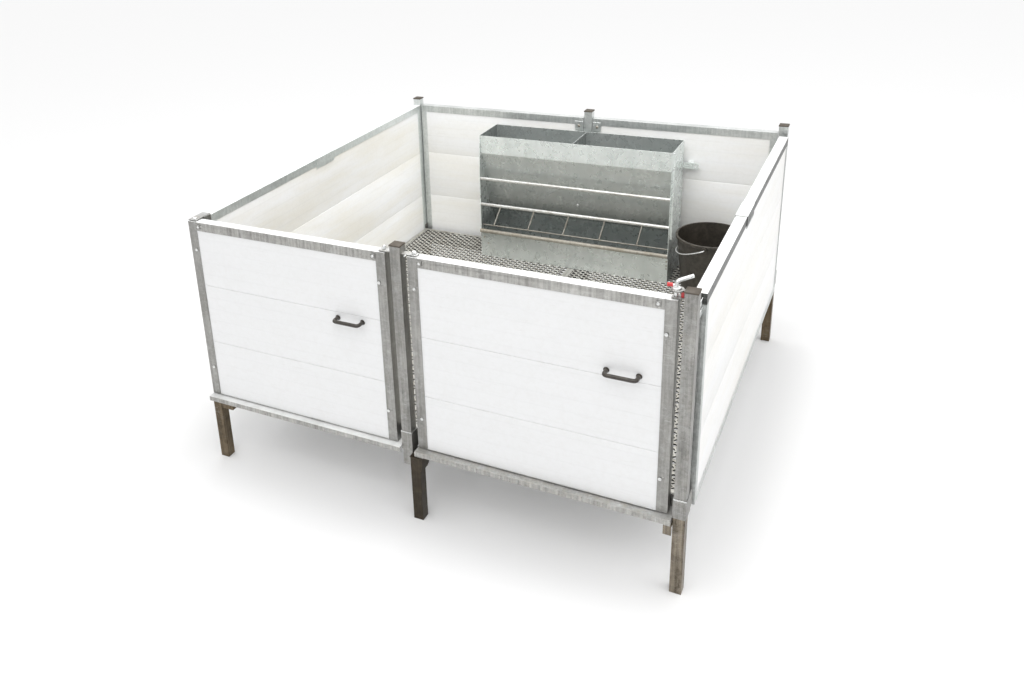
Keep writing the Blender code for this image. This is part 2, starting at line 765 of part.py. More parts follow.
def gate_frame(name, x0, x1, lock_radius):
    """Two stiles closed at the top, on a bottom strip, with a pivot below the hinge stile."""
    item = block(x0, x1, GATE_FRONT, GATE_BACK, GATE_BOTTOM, GATE_TOP)
    floor = GATE_BOTTOM + SHEET
    y0, y1 = GATE_FRONT + SHEET, GATE_BACK - SHEET
    over = GATE_TOP + 0.01
    cavity = block(x0 + SHEET, x1 - SHEET, y0, y1, floor, GATE_TOP - SHEET)
    front = block(x0 + STILE, x1 - STILE, GATE_FRONT - 0.01, AXIS_Y, floor, over)
    rear = block(x0 + STILE, x1 - STILE, AXIS_Y - 0.01, GATE_BACK + 0.01, floor + REAR_LIP, over)
    cut(item, cavity, front, rear)
    hinge_x = x0 + STILE / 2
    lock_x = x1 - LOCK_INSET
    cut(item, disc("z", hinge_x, AXIS_Y, PIN_HOLE, GATE_TOP - 0.01, over))
    half = lock_radius + NOTCH_ROOM
    low = GATE_TOP - LOCK_PIN_REACH - NOTCH_ROOM
    cut(item, block(lock_x - half, lock_x + half, AXIS_Y - half, GATE_BACK + 0.01, low, over))
    fuse(item, disc("z", hinge_x, AXIS_Y, PIVOT_COLLAR, SILL_TOP + SEAT, GATE_BOTTOM + SHEET / 2, 20))
    fuse(item, disc("z", hinge_x, AXIS_Y, PIN_RADIUS, SILL_TOP - PIVOT_REACH, GATE_BOTTOM + SHEET / 4))
    for x in (hinge_x, x1 - STILE / 2):
        for z in (GATE_BOTTOM + STILE_RIVET_LOW, GATE_TOP - STILE_RIVET_DOWN):
            fuse(item, rivet(x, z, GATE_FRONT))
    settle(item, name, (hinge_x, AXIS_Y, GATE_BOTTOM))
    zinc(item, name + "_zinc", 0.47)


def gate_rail(name, x0, x1):
    """Capping channel between the stiles, open below and at its ends."""
    low = GATE_TOP - RAIL
    a, b = x0 + STILE + SEAT, x1 - STILE - SEAT
    item = block(a, b, GATE_FRONT, GATE_BACK, low, GATE_TOP)
    y0, y1 = GATE_FRONT + SHEET, GATE_BACK - SHEET
    cut(item, block(a - 0.01, b + 0.01, y0, y1, low - 0.01, GATE_TOP - SHEET))
    for x in (a + RAIL_RIVET_IN, b - RAIL_RIVET_IN):
        fuse(item, rivet(x, GATE_TOP - RAIL / 2, GATE_FRONT))
    settle(item, name, (x0 + STILE / 2, AXIS_Y, GATE_TOP))
    zinc(item, name + "_zinc", 0.60)


def plank_outline(z0, z1, groove, tongue):
    """Plank section in the depth and height plane."""
    y0 = AXIS_Y - PLANK_THICK / 2
    y1 = AXIS_Y + PLANK_THICK / 2
    c = PLANK_EDGE
    t = TONGUE
    g = t + FIT
    high = TONGUE_HIGH + FIT
    points = [(y0, z0 + c), (y0, z1 - c), (y0 + c, z1)]
    if tongue:
        points += [(AXIS_Y - t, z1), (AXIS_Y - t, z1 + TONGUE_HIGH)]
        points += [(AXIS_Y + t, z1 + TONGUE_HIGH), (AXIS_Y + t, z1)]
    points += [(y1 - c, z1), (y1, z1 - c), (y1, z0 + c), (y1 - c, z0)]
    if groove:
        points += [(AXIS_Y + g, z0), (AXIS_Y + g, z0 + high), (AXIS_Y - g, z0 + high), (AXIS_Y - g, z0)]
    points += [(y0 + c, z0)]
    return points


def plank(name, x0, x1, z0, z1, groove, tongue):
    """Hollow plank with chambers which run its whole length."""
    item = prism(plank_outline(z0, z1, groove, tongue), "x", x0, x1)
    wall = PLANK_WALL
    low = z0 + TONGUE_HIGH + FIT + PLANK_EDGE + wall
    high = z1 - PLANK_EDGE - wall
    step = (high - low) / CHAMBERS
    y0 = AXIS_Y - PLANK_THICK / 2 + wall
    y1 = AXIS_Y + PLANK_THICK / 2 - wall
    holes = []
    for i in range(CHAMBERS):
        a = low + step * i + wall / 2
        holes.append((x0 - 0.01, x1 + 0.01, y0, y1, a, a + step - wall))
    cut(item, blocks(holes))
    settle(item, name, ((x0 + x1) / 2, AXIS_Y, z0))
    white_plastic(item, name + "_plastic")


def gate_planks(side, x0, x1, heights):
    a = x0 + PLANK_AT_HINGE
    b = x1 - PLANK_AT_LOCK
    z = GATE_BOTTOM + SHEET + SEAT
    for i, part in enumerate(("lower", "middle", "upper")):
        top = z + heights[i] - SEAT if i < 2 else GATE_TOP - PLANK_DROP
        plank(f"{side}_gate_{part}_plank", a, b, z, top, i > 0, i < 2)
        z = top + SEAT


def handle(name, x0, x1, z):
    """Bridge handle, a bent round bar on two feet."""
    face = HANDLE_FACE
    r = HANDLE_RADIUS
    out = face - HANDLE_OUT
    a = x0 + r
    b = x1 - r
    corners = [(a, face - 0.001, z), (a, out, z), (b, out, z), (b, face - 0.001, z)]
    item = rod(rounded_path(corners, 0.011, 4), r, 12)
    for x in (a, b):
        fuse(item, disc("y", x, z, 0.0105, face - 0.005, face, 16))
    settle(item, name, ((x0 + x1) / 2, face, z))
    smooth(item)
    dark_plastic(item, name + "_plastic")


def gate(side, span, lock_radius, heights, middle, z):
    gate_frame(side + "_gate_frame", *span, lock_radius)
    gate_rail(side + "_gate_top_rail", *span)
    gate_planks(side, *span, heights)
    handle(side + "_gate_handle", middle - HANDLE_WIDE / 2, middle + HANDLE_WIDE / 2, z)


def gates():
    middle = LEFT_GATE[1] - LEFT_HANDLE_IN
    gate("left", LEFT_GATE, PIN_RADIUS, LEFT_PLANKS, middle, LEFT_HANDLE_Z)
    middle = RIGHT_GATE[1] - RIGHT_HANDLE_IN
    gate("right", RIGHT_GATE, LATCH_RADIUS, RIGHT_PLANKS, middle, RIGHT_HANDLE_Z)


# Pins and latch

def drop_pin(name, x, low, head, knob):
    z = BRIDGE_TOP + SEAT
    profile = [(0.0, low), (PIN_RADIUS - 0.001, low), (PIN_RADIUS, low + 0.0015), (PIN_RADIUS, z)]
    profile += [(head, z), (head, z + knob * 0.6), (head * 0.7, z + knob), (0.0, z + knob)]
    item = turned(profile, (x, AXIS_Y, 0.0), 16)
    settle(item, name, (x, AXIS_Y, z))
    smooth(item)
    zinc(item, name + "_zinc", 0.62)


def latch_rod():
    """Upright bolt bent at the top into an arm over the post."""
    x = RIGHT_GATE[1] - LOCK_INSET
    top = RING_TOP + ARM_UP
    low = GATE_TOP - LOCK_PIN_REACH
    run_x, run_y, rise = ARM_RUN
    corners = [(x, AXIS_Y, low), (x, AXIS_Y, top), (x + run_x, AXIS_Y + run_y, top + rise)]
    item = rod(rounded_path(corners, 2 * LATCH_RADIUS, 5), LATCH_RADIUS, 14)
    seat = RING_TOP + SEAT
    fuse(item, disc("z", x, AXIS_Y, COLLAR_RADIUS, seat, seat + COLLAR_HIGH, 20))
    fuse(item, stub(0.0, 0.022, 0.0035))
    settle(item, "latch_rod", (x, AXIS_Y, seat))
    smooth(item)
    zinc(item, "latch_rod_zinc", 0.66)


def stub(start, end, radius):
    """Short bar which leaves the latch rod to the left and a little forward."""
    x = RIGHT_GATE[1] - LOCK_INSET
    z = RING_TOP + STUB_UP
    return rod([(x - start, AXIS_Y - start * 4 / 22, z), (x - end, AXIS_Y - end * 4 / 22, z)], radius, 12)


def latch_red_grip():
    item = stub(0.0105, 0.0270, 0.0062)
    cut(item, stub(0.0, 0.0237, 0.0035 + 0.0006))
    x = RIGHT_GATE[1] - LOCK_INSET
    settle(item, "latch_red_grip", (x - 0.0105, AXIS_Y, RING_TOP + STUB_UP))
    smooth(item)
    paint(item, "latch_red", (0.60, 0.02, 0.03), 0.4, 0.0)


def latch_red_stop():
    """Plug which stands on the keeper plate between gate and post."""
    x = (RIGHT_GATE[1] + RIGHT - POST) / 2
    low = BRIDGE_TOP + SEAT
    item = block(x - 0.0045, x + 0.0045, AXIS_Y - 0.006, AXIS_Y + 0.006, low, RING_LOW - SEAT)
    settle(item, "latch_red_stop", (x, AXIS_Y, low))
    paint(item, "stop_red", (0.60, 0.02, 0.03), 0.4, 0.0)


# Walls

def board(length, thick, high, start, low):
    """Board of three planks with chambers, its length along x from start."""
    c = PLANK_EDGE
    y0, y1 = -thick / 2, thick / 2
    joints = [low + WALL_PLANKS[0], low + WALL_PLANKS[0] + WALL_PLANKS[1]]
    top = low + high
    front = [(y0, low)]
    rear = [(y1, low)]
    for z in joints:
        front += [(y0, z - c), (y0 + c, z), (y0, z + c)]
        rear += [(y1, z - c), (y1 - c, z), (y1, z + c)]
    front.append((y0, top))
    rear.append((y1, top))
    item = prism(front + rear[::-1], "x", start, start + length)
    edges = [low] + joints + [top]
    wall = PLANK_WALL
    holes = []
    for a, b in zip(edges, edges[1:]):
        count = CHAMBERS - 1
        step = (b - a - 2 * wall) / count
        for i in range(count):
            z = a + wall + step * i
            z0, z1 = z + wall / 2, z + step - wall / 2
            holes.append((start - 0.01, start + length + 0.01, y0 + wall, y1 - wall, z0, z1))
    cut(item, blocks(holes))
    return item


def wall_shell(length):
    """Pocket frame of bent sheet, its length along x from zero."""
    d = FRAME_DEEP / 2
    item = block(0.0, length, -d, d, WALL_BOTTOM, WALL_TOP)
    cavity = block(SHEET, length - SHEET, -d + SHEET, d - SHEET, WALL_BOTTOM + SHEET, WALL_TOP - SHEET)
    low, high = WALL_BOTTOM + LOW_FLANGE, WALL_TOP - TOP_FLANGE
    window = block(SIDE_FLANGE, length - SIDE_FLANGE, -2 * d, 2 * d, low, high)
    return cut(item, cavity, window)


def wall(name, length, turn, place, extras, colour):
    frame = wall_shell(length)
    fuse(frame, *extras)
    low = WALL_BOTTOM + SHEET + SEAT
    high = WALL_TOP - SHEET - FIT - low
    panel = board(length - 2 * SHEET - 2 * FIT, PLANK_THICK, high, SHEET + FIT, low)
    for item, tail in ((frame, "_frame"), (panel, "_board")):
        item.data.transform(Matrix.Translation(place) @ Matrix.Rotation(turn, 4, "Z"))
        settle(item, name + tail, place)
    zinc(frame, name + "_zinc", 0.50)
    white_plastic(panel, name + "_plastic", colour)


def side_walls():
    start = -BEAM_FACE + POST + FIT
    end = BACK - POST - FIT
    wall("left_wall", end - start, math.pi / 2, (LEFT_WALL_X, start, 0.0), [], (0.76, 0.75, 0.72))
    y0 = -FRAME_DEEP / 2 + HOOK_IN
    hooks = []
    for drop in HOOK_DROPS:
        z = WALL_TOP - drop
        hooks.append(block(SEAT - RIGHT_WALL_GAP, SHEET / 2, y0, y0 + HOOK_THICK, z, z + HOOK_HIGH))
    start = FRONT + POST + RIGHT_WALL_GAP
    end = BACK - POST - RIGHT_WALL_END_GAP
    wall("right_wall", end - start, math.pi / 2, (RIGHT_WALL_X, start, 0.0), hooks, (0.78, 0.78, 0.76))


def back_walls():
    gap = BACK_WALL_GAP
    left0, left1 = LEFT + POST + gap, BACK_CENTRE_X0 - gap
    right0, right1 = BACK_CENTRE_X0 + POST + gap, RIGHT - POST - gap
    face = -FRAME_DEEP / 2
    low = WALL_TOP - CLAMP_DOWN
    for side, a, b in (("left", left0, left1), ("right", right0, right1)):
        name = f"back_{side}_wall"
        length = b - a
        x = length - CLAMP_WIDE if side == "left" else 0.0
        plate = block(x, x + CLAMP_WIDE, face - CLAMP_THICK, face + SHEET / 4, low, low + CLAMP_HIGH)
        wall(name, length, 0.0, (a, BACK_WALL_Y, 0.0), [plate], (0.80, 0.80, 0.79))


def splice(name, x, y0):
    """Clip folded over the joint of a side wall's top rail."""
    d = FRAME_DEEP / 2 + SEAT
    t = SPLICE_THICK
    high = WALL_TOP + SEAT
    low = high - SPLICE_HIGH
    outline = [(x - d - t, low), (x - d - t, high + t), (x + d + t, high + t), (x + d + t, low)]
    outline += [(x + d, low), (x + d, high), (x - d, high), (x - d, low)]
    item = prism(outline, "y", y0, y0 + SPLICE_LONG)
    settle(item, name, (x, y0 + SPLICE_LONG / 2, high))
    zinc(item, name + "_zinc", 0.55)


# Feeder

def sheet_strip(points, thick, x0, x1):
    """Folded sheet: the fold line and its offset make one section along x."""
    lines = [Vector(point) for point in points]
    offset = []
    for i, point in enumerate(lines):
        a = (point - lines[i - 1]).normalized() if i > 0 else None
        b = (lines[i + 1] - point).normalized() if i < len(lines) - 1 else None
        a = a or b
        b = b or a
        na = Vector((-a.y, a.x))
        nb = Vector((-b.y, b.x))
        mid = (na + nb).normalized()
        offset.append(point + mid * (thick / mid.dot(na)))
    outline = [tuple(p) for p in lines] + [tuple(p) for p in reversed(offset)]
    return prism(outline, "x", x0, x1)


def hopper_line(z):
    """Depth of the sloping hopper front behind the trough's front, at a height."""
    share = (BAND_LOW - z) / (BAND_LOW - HOPPER_FOOT)
    return FEEDER_FRONT + HOPPER_SET + share * (HOPPER_RUN - HOPPER_SET)


def feeder_body():
    x0, x1 = FEEDER_X0, FEEDER_X1
    t = FEEDER_SHEET
    y0, y1 = FEEDER_FRONT, FEEDER_BACK
    foot = FEEDER_FOOT
    lip = TROUGH_LIP
    tray = [(y1, FEEDER_TOP), (y1, foot + 0.040), (y1 - 0.050, foot), (y0, foot), (y0, lip - t)]
    item = sheet_strip(tray, -t, x0, x1)
    front = y0 + HOPPER_SET
    hopper = [(front, FEEDER_TOP - t), (front, BAND_LOW), (y0 + HOPPER_RUN, HOPPER_FOOT)]
    fuse(item, sheet_strip(hopper, t, x0 + t / 2, x1 - t / 2))
    rear = y1 - t / 5
    for x in (x0, x1 - t):
        outline = [(y0, foot), (rear, foot), (rear, FEEDER_TOP), (front - t / 2, FEEDER_TOP)]
        outline += [(front - HOPPER_SET * 0.6, BAND_LOW), (y0, BAND_LOW - 0.11)]
        fuse(item, prism(outline, "x", x, x + t))
    fuse(item, disc("x", y0 - t, lip - LIP_ROLL + t, LIP_ROLL, x0, x1, 12))
    middle = (x0 + x1) / 2
    top = FEEDER_TOP - 2 * t
    low = DIVIDER_LOW
    inside = t / 2
    web = [(front + inside, top), (y1 - inside, top), (y1 - inside, low), (hopper_line(low) + inside, low)]
    web.append((front + inside, BAND_LOW))
    fuse(item, prism(web, "x", middle - t / 2, middle + t / 2))
    flange = block(x1 - t, x1 + FEEDER_FLANGE, front - t / 2, front + t, HOPPER_FOOT, FEEDER_TOP - t)
    fuse(item, flange)
    settle(item, "feeder_body", (middle, y1, foot))
    zinc(item, "feeder_zinc", 0.55)


def feeder_grille():
    """Two bars crossed by upright rods, welded to one another."""
    a = FEEDER_X0 + FEEDER_SHEET + SEAT
    b = FEEDER_X1 - FEEDER_SHEET - SEAT
    y = FEEDER_FRONT + GRILLE_IN
    item = rod([(a, y, UPPER_BAR), (b, y, UPPER_BAR)], BAR_RADIUS, 12)
    lower = rod([(a, y, LOWER_BAR), (b, y, LOWER_BAR)], BAR_RADIUS, 12)
    rods = []
    low = LOWER_BAR - ROD_BELOW
    high = BAND_LOW - 0.012
    for i in range(ROD_COUNT):
        x = FEEDER_X0 + ROD_FIRST + ROD_PITCH * i
        rods.append(rod([(x, y - 0.001, low), (x, y - 0.001, high)], ROD_RADIUS, 10))
    first = rods.pop()
    fuse(item, first, lower, *rods)
    settle(item, "feeder_grille", ((a + b) / 2, y, UPPER_BAR))
    smooth(item)
    zinc(item, "feeder_grille_zinc", 0.58)


def feeder_fixing_bar():
    """Flat bar on two stand-offs, with a bolt hole in its tab."""
    y0 = FEEDER_BACK + SEAT
    half = FIXING_HIGH / 2
    a, b = FEEDER_X0 + FIXING_IN, FEEDER_X1 + FIXING_TAB
    item = block(a, b, y0, y0 + FIXING_THICK, FIXING_Z - half, FIXING_Z + half)
    back = BACK_WALL_Y - PLANK_THICK / 2 - SEAT
    for x in (a + FIXING_IN, FEEDER_X1 + FIXING_IN):
        low, high = FIXING_Z - half + 0.001, FIXING_Z + half - 0.001
        fuse(item, block(x, x + 0.026, y0 + FIXING_THICK * 0.75, back, low, high))
    cut(item, disc("y", b - 0.014, FIXING_Z, 0.0055, y0 - 0.01, y0 + 0.014))
    settle(item, "feeder_fixing_bar", (b - 0.014, y0, FIXING_Z))
    zinc(item, "fixing_bar_zinc", 0.50)


# Bucket

def bucket():
    """Tapered pail with a rolled rim band and two ears for the bail."""
    z0 = FLOOR_TOP + SEAT
    top = z0 + BUCKET_HIGH
    w = BUCKET_WALL
    rim = BUCKET_RIM
    foot = BUCKET_FOOT
    neck = rim - RIM_BAND
    base = z0 + 2 * w
    profile = [(0.0, z0), (foot - 0.004, z0), (foot, z0 + 0.004), (neck, top - 0.012)]
    profile += [(rim - 0.001, top - 0.012), (rim, top - 0.010), (rim, top - 0.002), (rim - 0.002, top)]
    profile += [(neck - w + 0.001, top), (neck - w, top - 0.003), (foot - w, base), (0.0, base)]
    item = turned(profile, (BUCKET_X, BUCKET_Y, 0.0), 40)
    ear_z = top - EAR_DROP
    for side in (-1, 1):
        a, b = sorted((BUCKET_Y + side * (neck - 0.002), BUCKET_Y + side * (rim + EAR_OUT)))
        fuse(item, block(BUCKET_X - 0.012, BUCKET_X + 0.012, a, b, ear_z - 0.012, ear_z + 0.010))
        a, b = sorted((BUCKET_Y + side * (rim - 0.0025), BUCKET_Y + side * (rim + EAR_OUT + 0.01)))
        cut(item, disc("y", BUCKET_X, ear_z, BAIL_WIRE + RUNNING, a, b, 12))
    settle(item, "bucket", (BUCKET_X, BUCKET_Y, z0))
    smooth(item)
    paint(item, "bucket_plastic", (0.045, 0.041, 0.036), 0.45, 0.0)


def bail():
    """Half hoop of wire whose ends turn in through the two ears."""
    ear_z = FLOOR_TOP + SEAT + BUCKET_HIGH - EAR_DROP
    r = BAIL_RADIUS + EAR_OUT - 0.004
    tip = BUCKET_RIM + 0.0005
    steps = 28
    path = [(0.0, -tip, 0.0), (0.0, -r + 0.004, 0.0)]
    for i in range(steps + 1):
        turn = math.pi * i / steps
        along = max(-r, min(r, -r * math.cos(turn)))
        out = max(0.0035, BAIL_RADIUS * math.sin(turn))
        path.append((-out, along, 0.0))
    path += [(0.0, r - 0.004, 0.0), (0.0, tip, 0.0)]
    item = rod(path, BAIL_WIRE, 8)
    item.data.transform(Matrix.Rotation(-BAIL_DROP, 4, "Y"))
    item.data.transform(Matrix.Translation((BUCKET_X, BUCKET_Y, ear_z)))
    settle(item, "bucket_bail", (BUCKET_X, BUCKET_Y, ear_z))
    smooth(item)
    zinc(item, "bail_zinc", 0.45)


def build():
    clear_scene()
    front_beam()
    back_beam()
    side_beam("floor_beam_left", -1, LEFT_WALL_X)
    side_beam("floor_beam_right", 1, RIGHT_WALL_X)
    centre_joist()
    gap = MESH_INSET / 2
    mesh_panel("floor_mesh_left", LEFT + POST + MESH_INSET, FLOOR_SPLIT - gap, 8, 13)
    mesh_panel("floor_mesh_right", FLOOR_SPLIT + gap, RIGHT - POST, 8, 13)
    corner_leg("leg_front_left", -1, -1)
    corner_leg("leg_front_right", 1, -1)
    corner_leg("leg_back_left", -1, 1)
    corner_leg("leg_back_right", 1, 1)
    front_centre_leg()
    back_centre_leg()
    front_centre_post()
    front_right_post()
    front_left_post()
    back_post("back_left_post", LEFT, CORNER_JOINT)
    back_post("back_centre_post", BACK_CENTRE_X0, POST_FOOT)
    back_post("back_right_post", RIGHT - POST, CORNER_JOINT)
    cap("front_centre_cap", CENTRE_X0, FRONT)
    cap("front_right_cap", RIGHT - POST, FRONT)
    cap("back_left_cap", LEFT, BACK - POST)
    cap("back_centre_cap", BACK_CENTRE_X0, BACK - POST)
    cap("back_right_cap", RIGHT - POST, BACK - POST)
    sills()
    gates()
    hinge_low = GATE_TOP - HINGE_PIN_REACH
    drop_pin("left_gate_hinge_pin", LEFT_GATE[0] + STILE / 2, hinge_low, 0.008, 0.003)
    drop_pin("right_gate_hinge_pin", RIGHT_GATE[0] + STILE / 2, hinge_low, 0.008, 0.010)
    drop_pin("left_gate_lock_pin", LEFT_GATE[1] - LOCK_INSET, GATE_TOP - LOCK_PIN_REACH, 0.007, 0.014)
    latch_rod()
    latch_red_grip()
    latch_red_stop()
    side_walls()
    back_walls()
    splice("left_wall_splice", LEFT_WALL_X, LEFT_SPLICE_Y)
    splice("right_wall_splice", RIGHT_WALL_X, RIGHT_SPLICE_Y)
    feeder_body()
    feeder_grille()
    feeder_fixing_bar()
    bucket()
    bail()


build()
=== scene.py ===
"""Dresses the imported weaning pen: zinc-coated frames, hollow boards, fine floor mesh, feeder and bucket."""
import json
import math

import bmesh
import bpy
import numpy as np
from bpy.props import FloatProperty, FloatVectorProperty, IntProperty, PointerProperty
from mathutils import Matrix, Vector


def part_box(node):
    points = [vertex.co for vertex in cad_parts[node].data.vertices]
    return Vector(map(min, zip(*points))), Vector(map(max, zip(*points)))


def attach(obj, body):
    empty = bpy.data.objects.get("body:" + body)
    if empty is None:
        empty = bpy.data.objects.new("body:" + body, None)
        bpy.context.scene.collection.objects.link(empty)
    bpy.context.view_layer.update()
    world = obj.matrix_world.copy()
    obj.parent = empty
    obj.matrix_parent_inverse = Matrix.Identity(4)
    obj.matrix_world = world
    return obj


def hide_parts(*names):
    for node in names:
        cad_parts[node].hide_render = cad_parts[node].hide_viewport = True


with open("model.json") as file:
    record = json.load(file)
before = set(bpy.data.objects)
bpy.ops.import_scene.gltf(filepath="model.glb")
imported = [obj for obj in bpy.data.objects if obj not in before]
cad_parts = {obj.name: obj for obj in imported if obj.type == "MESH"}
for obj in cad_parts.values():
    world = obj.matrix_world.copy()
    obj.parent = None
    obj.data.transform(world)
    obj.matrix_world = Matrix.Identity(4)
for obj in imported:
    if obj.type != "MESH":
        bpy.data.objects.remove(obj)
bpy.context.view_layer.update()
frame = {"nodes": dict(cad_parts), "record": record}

bl_info = {
    "name": "Weaning pen",
    "version": (1, 0, 0),
    "blender": (4, 5, 0),
    "location": "3D View > Sidebar > Weaning pen",
    "description": "Builds the visible pieces and finishes of a raised weaning pen",
    "category": "Object",
}

BODIES = frame["record"]["behaviour"]["bodies"]
BODY_OF_NODE = {node: body for body, nodes in BODIES.items() for node in nodes}

# Places that new pieces and finishes are set out from
GATE_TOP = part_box("left_gate_frame")[1].z
PIN_LINE = sum(corner.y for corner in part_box("left_gate_hinge_pin")) / 2
FEEDER_LOW, FEEDER_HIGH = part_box("feeder_body")
FEEDER_RIGHT = FEEDER_HIGH.x - 0.010
HOPPER_FOLD = FEEDER_HIGH.z - 0.096
HOPPER_LEAN = 0.295
TROUGH_LIP = FEEDER_HIGH.z - 0.5185
# Painted shade on the outer flange of the right wall's top rail: above this height and behind this place its
# zinc takes these darker colours
RAIL_SHADE_ABOVE = GATE_TOP - 0.038
RAIL_SHADE_BEHIND = -0.88
RAIL_SHADE_PALE, RAIL_SHADE_DEEP = (0.12, 0.125, 0.12), (0.03, 0.032, 0.03)

# Colours of dust and dirt
BROWN_DUST = (0.32, 0.27, 0.19)
PALE_DUST = (0.42, 0.38, 0.30)
FLOOR_DIRT = (0.20, 0.16, 0.105)
MEAL_DUST = (0.36, 0.31, 0.225)


# Materials

class Tree:
    """Adds nodes to a node tree and joins them, so that a recipe reads from top to bottom."""

    def __init__(self, tree):
        self.tree = tree

    def feed(self, socket, value):
        """Joins the socket to another one, or sets its value; a colour may be given without its alpha."""
        if isinstance(value, bpy.types.NodeSocket):
            self.tree.links.new(value, socket)
        else:
            socket.default_value = (*value, 1) if socket.type == "RGBA" and len(value) == 3 else value

    def add(self, kind, **values):
        node = self.tree.nodes.new(kind)
        self.put(node, **values)
        return node

    def put(self, node, **values):
        """Sets properties of the node, or inputs of it by name with spaces written as underscores."""
        for name, value in values.items():
            if hasattr(node, name):
                setattr(node, name, value)
            else:
                shown = (socket for socket in node.inputs if socket.enabled)
                self.feed(next(socket for socket in shown if socket.name.replace(" ", "_") == name), value)

    def math(self, operation, a, b=0.0, clamp=False):
        node = self.add("ShaderNodeMath", operation=operation, use_clamp=clamp)
        self.feed(node.inputs[0], a)
        self.feed(node.inputs[1], b)
        return node.outputs[0]

    def plus(self, a, b, clamp=False):
        return self.math("ADD", a, b, clamp)

    def minus(self, a, b):
        return self.math("SUBTRACT", a, b)

    def times(self, *values, clamp=False):
        """The product of all values, which clamp holds between 0 and 1."""
        product = values[0]
        for value in values[1:-1]:
            product = self.math("MULTIPLY", product, value)
        return self.math("MULTIPLY", product, values[-1], clamp)

    def vector(self, operation, a, b):
        node = self.add("ShaderNodeVectorMath", operation=operation)
        self.feed(node.inputs[0], a)
        self.feed(node.inputs["Scale" if operation == "SCALE" else 1], b)
        return node.outputs[0]

    def spread(self, value, low, high, out_low=0.0, out_high=1.0):
        """Carries the range low to high onto out_low to out_high, held at both ends."""
        node = self.add("ShaderNodeMapRange", clamp=True)
        for socket, number in zip(node.inputs, (value, low, high, out_low, out_high)):
            self.feed(socket, number)
        return node.outputs[0]

    def blend(self, share, a, b, way="MIX"):
        """Mixes two colours by a share."""
        node = self.add("ShaderNodeMix", data_type="RGBA", blend_type=way, clamp_factor=True)
        for i, value in ((0, share), (6, a), (7, b)):
            self.feed(node.inputs[i], value)
        return node.outputs[2]

    def axes(self, vector):
        """The x, y and z of a vector."""
        return self.add("ShaderNodeSeparateXYZ", Vector=vector).outputs

    def facing(self):
        """The x, y and z of the direction that the surface faces."""
        return self.axes(self.add("ShaderNodeNewGeometry").outputs["Normal"])

    def stretch(self, vector, scale):
        return self.add("ShaderNodeMapping", Vector=vector, Scale=scale).outputs[0]

    def noise(self, vector, scale, detail=3.0, rough=0.5):
        node = self.add("ShaderNodeTexNoise", Vector=vector, Scale=scale, Detail=detail, Roughness=rough)
        return node.outputs[0]


COLOUR, NUMBER, POINT = "NodeSocketColor", "NodeSocketFloat", "NodeSocketVector"


def new_group(name, inputs, outputs):
    """Starts a shader node group whose inputs and outputs have the kinds given for their names."""
    group = bpy.data.node_groups.new(name, "ShaderNodeTree")
    for way, kinds in (("INPUT", inputs), ("OUTPUT", outputs)):
        for title, kind in kinds.items():
            group.interface.new_socket(name=title, in_out=way, socket_type=kind)
    tree = Tree(group)
    return tree, tree.add("NodeGroupInput").outputs, tree.add("NodeGroupOutput")


def zinc_group():
    """Hot-dip zinc: crystal patches, slow clouds, upright run marks, a little white bloom, and a painted
    highlight that whitens upward faces.
    """
    tree, given, out = new_group("zinc_coat", {
        "Place": POINT, "Light": COLOUR, "Dark": COLOUR, "Patch": NUMBER, "Patches": NUMBER, "Runs": NUMBER,
        "Run_Pitch": NUMBER, "Bloom": NUMBER, "Top": NUMBER, "Polish": NUMBER},
        {"Colour": COLOUR, "Roughness": NUMBER, "Height": NUMBER, "White": NUMBER})
    place = given["Place"]
    wobble = tree.add("ShaderNodeTexNoise", Vector=place, Scale=38.0, Detail=2.0).outputs["Color"]
    bent = tree.vector("ADD", place, tree.vector("SCALE", wobble, 0.012))
    cells = tree.add("ShaderNodeTexVoronoi", Vector=bent, Scale=given["Patch"])
    tone = tree.add("ShaderNodeSeparateColor", Color=cells.outputs["Color"]).outputs[0]
    grit = tree.noise(place, 330.0, 4.0, 0.7)
    cloud = tree.noise(place, 7.0, 4.0, 0.6)
    runs = tree.noise(tree.stretch(place, (1.0, 1.0, 0.05)), given["Run_Pitch"], 3.0, 0.6)
    bloom = tree.spread(tree.noise(place, 23.0, 6.0, 0.7), 0.55, 0.78)
    patches = tree.times(tree.minus(tone, 0.5), given["Patches"])
    clouds = tree.times(tree.minus(cloud, 0.5), 1.1)
    marks = tree.times(tree.minus(runs, 0.5), tree.times(given["Runs"], 2.4))
    grain = tree.times(tree.minus(grit, 0.5), tree.times(given["Patches"], 2.6))
    level = tree.plus(tree.plus(tree.plus(patches, clouds), tree.plus(marks, grain)), 0.5, clamp=True)
    colour = tree.blend(level, given["Dark"], given["Light"])
    # Painted highlight: upward faces turn white by the top share, broken up by the slow clouds
    top = tree.times(tree.spread(tree.facing()[2], 0.55, 0.95), given["Top"])
    top = tree.times(top, tree.spread(cloud, 0.30, 0.55, 0.72, 1.0))
    # White holds both the real white bloom and the painted highlight of upward faces
    white = tree.math("MAXIMUM", tree.times(bloom, given["Bloom"]), top)
    rough = tree.plus(given["Polish"], tree.times(tree.minus(tone, 0.5), 0.14))
    fine = tree.noise(place, 310.0, 2.0, 0.5)
    tree.put(out, Colour=tree.blend(white, colour, (0.86, 0.87, 0.865)),
             Roughness=tree.plus(rough, tree.times(white, 0.35), clamp=True),
             Height=tree.plus(tree.times(fine, 0.45), tree.times(runs, 0.5)), White=white)
    return tree.tree


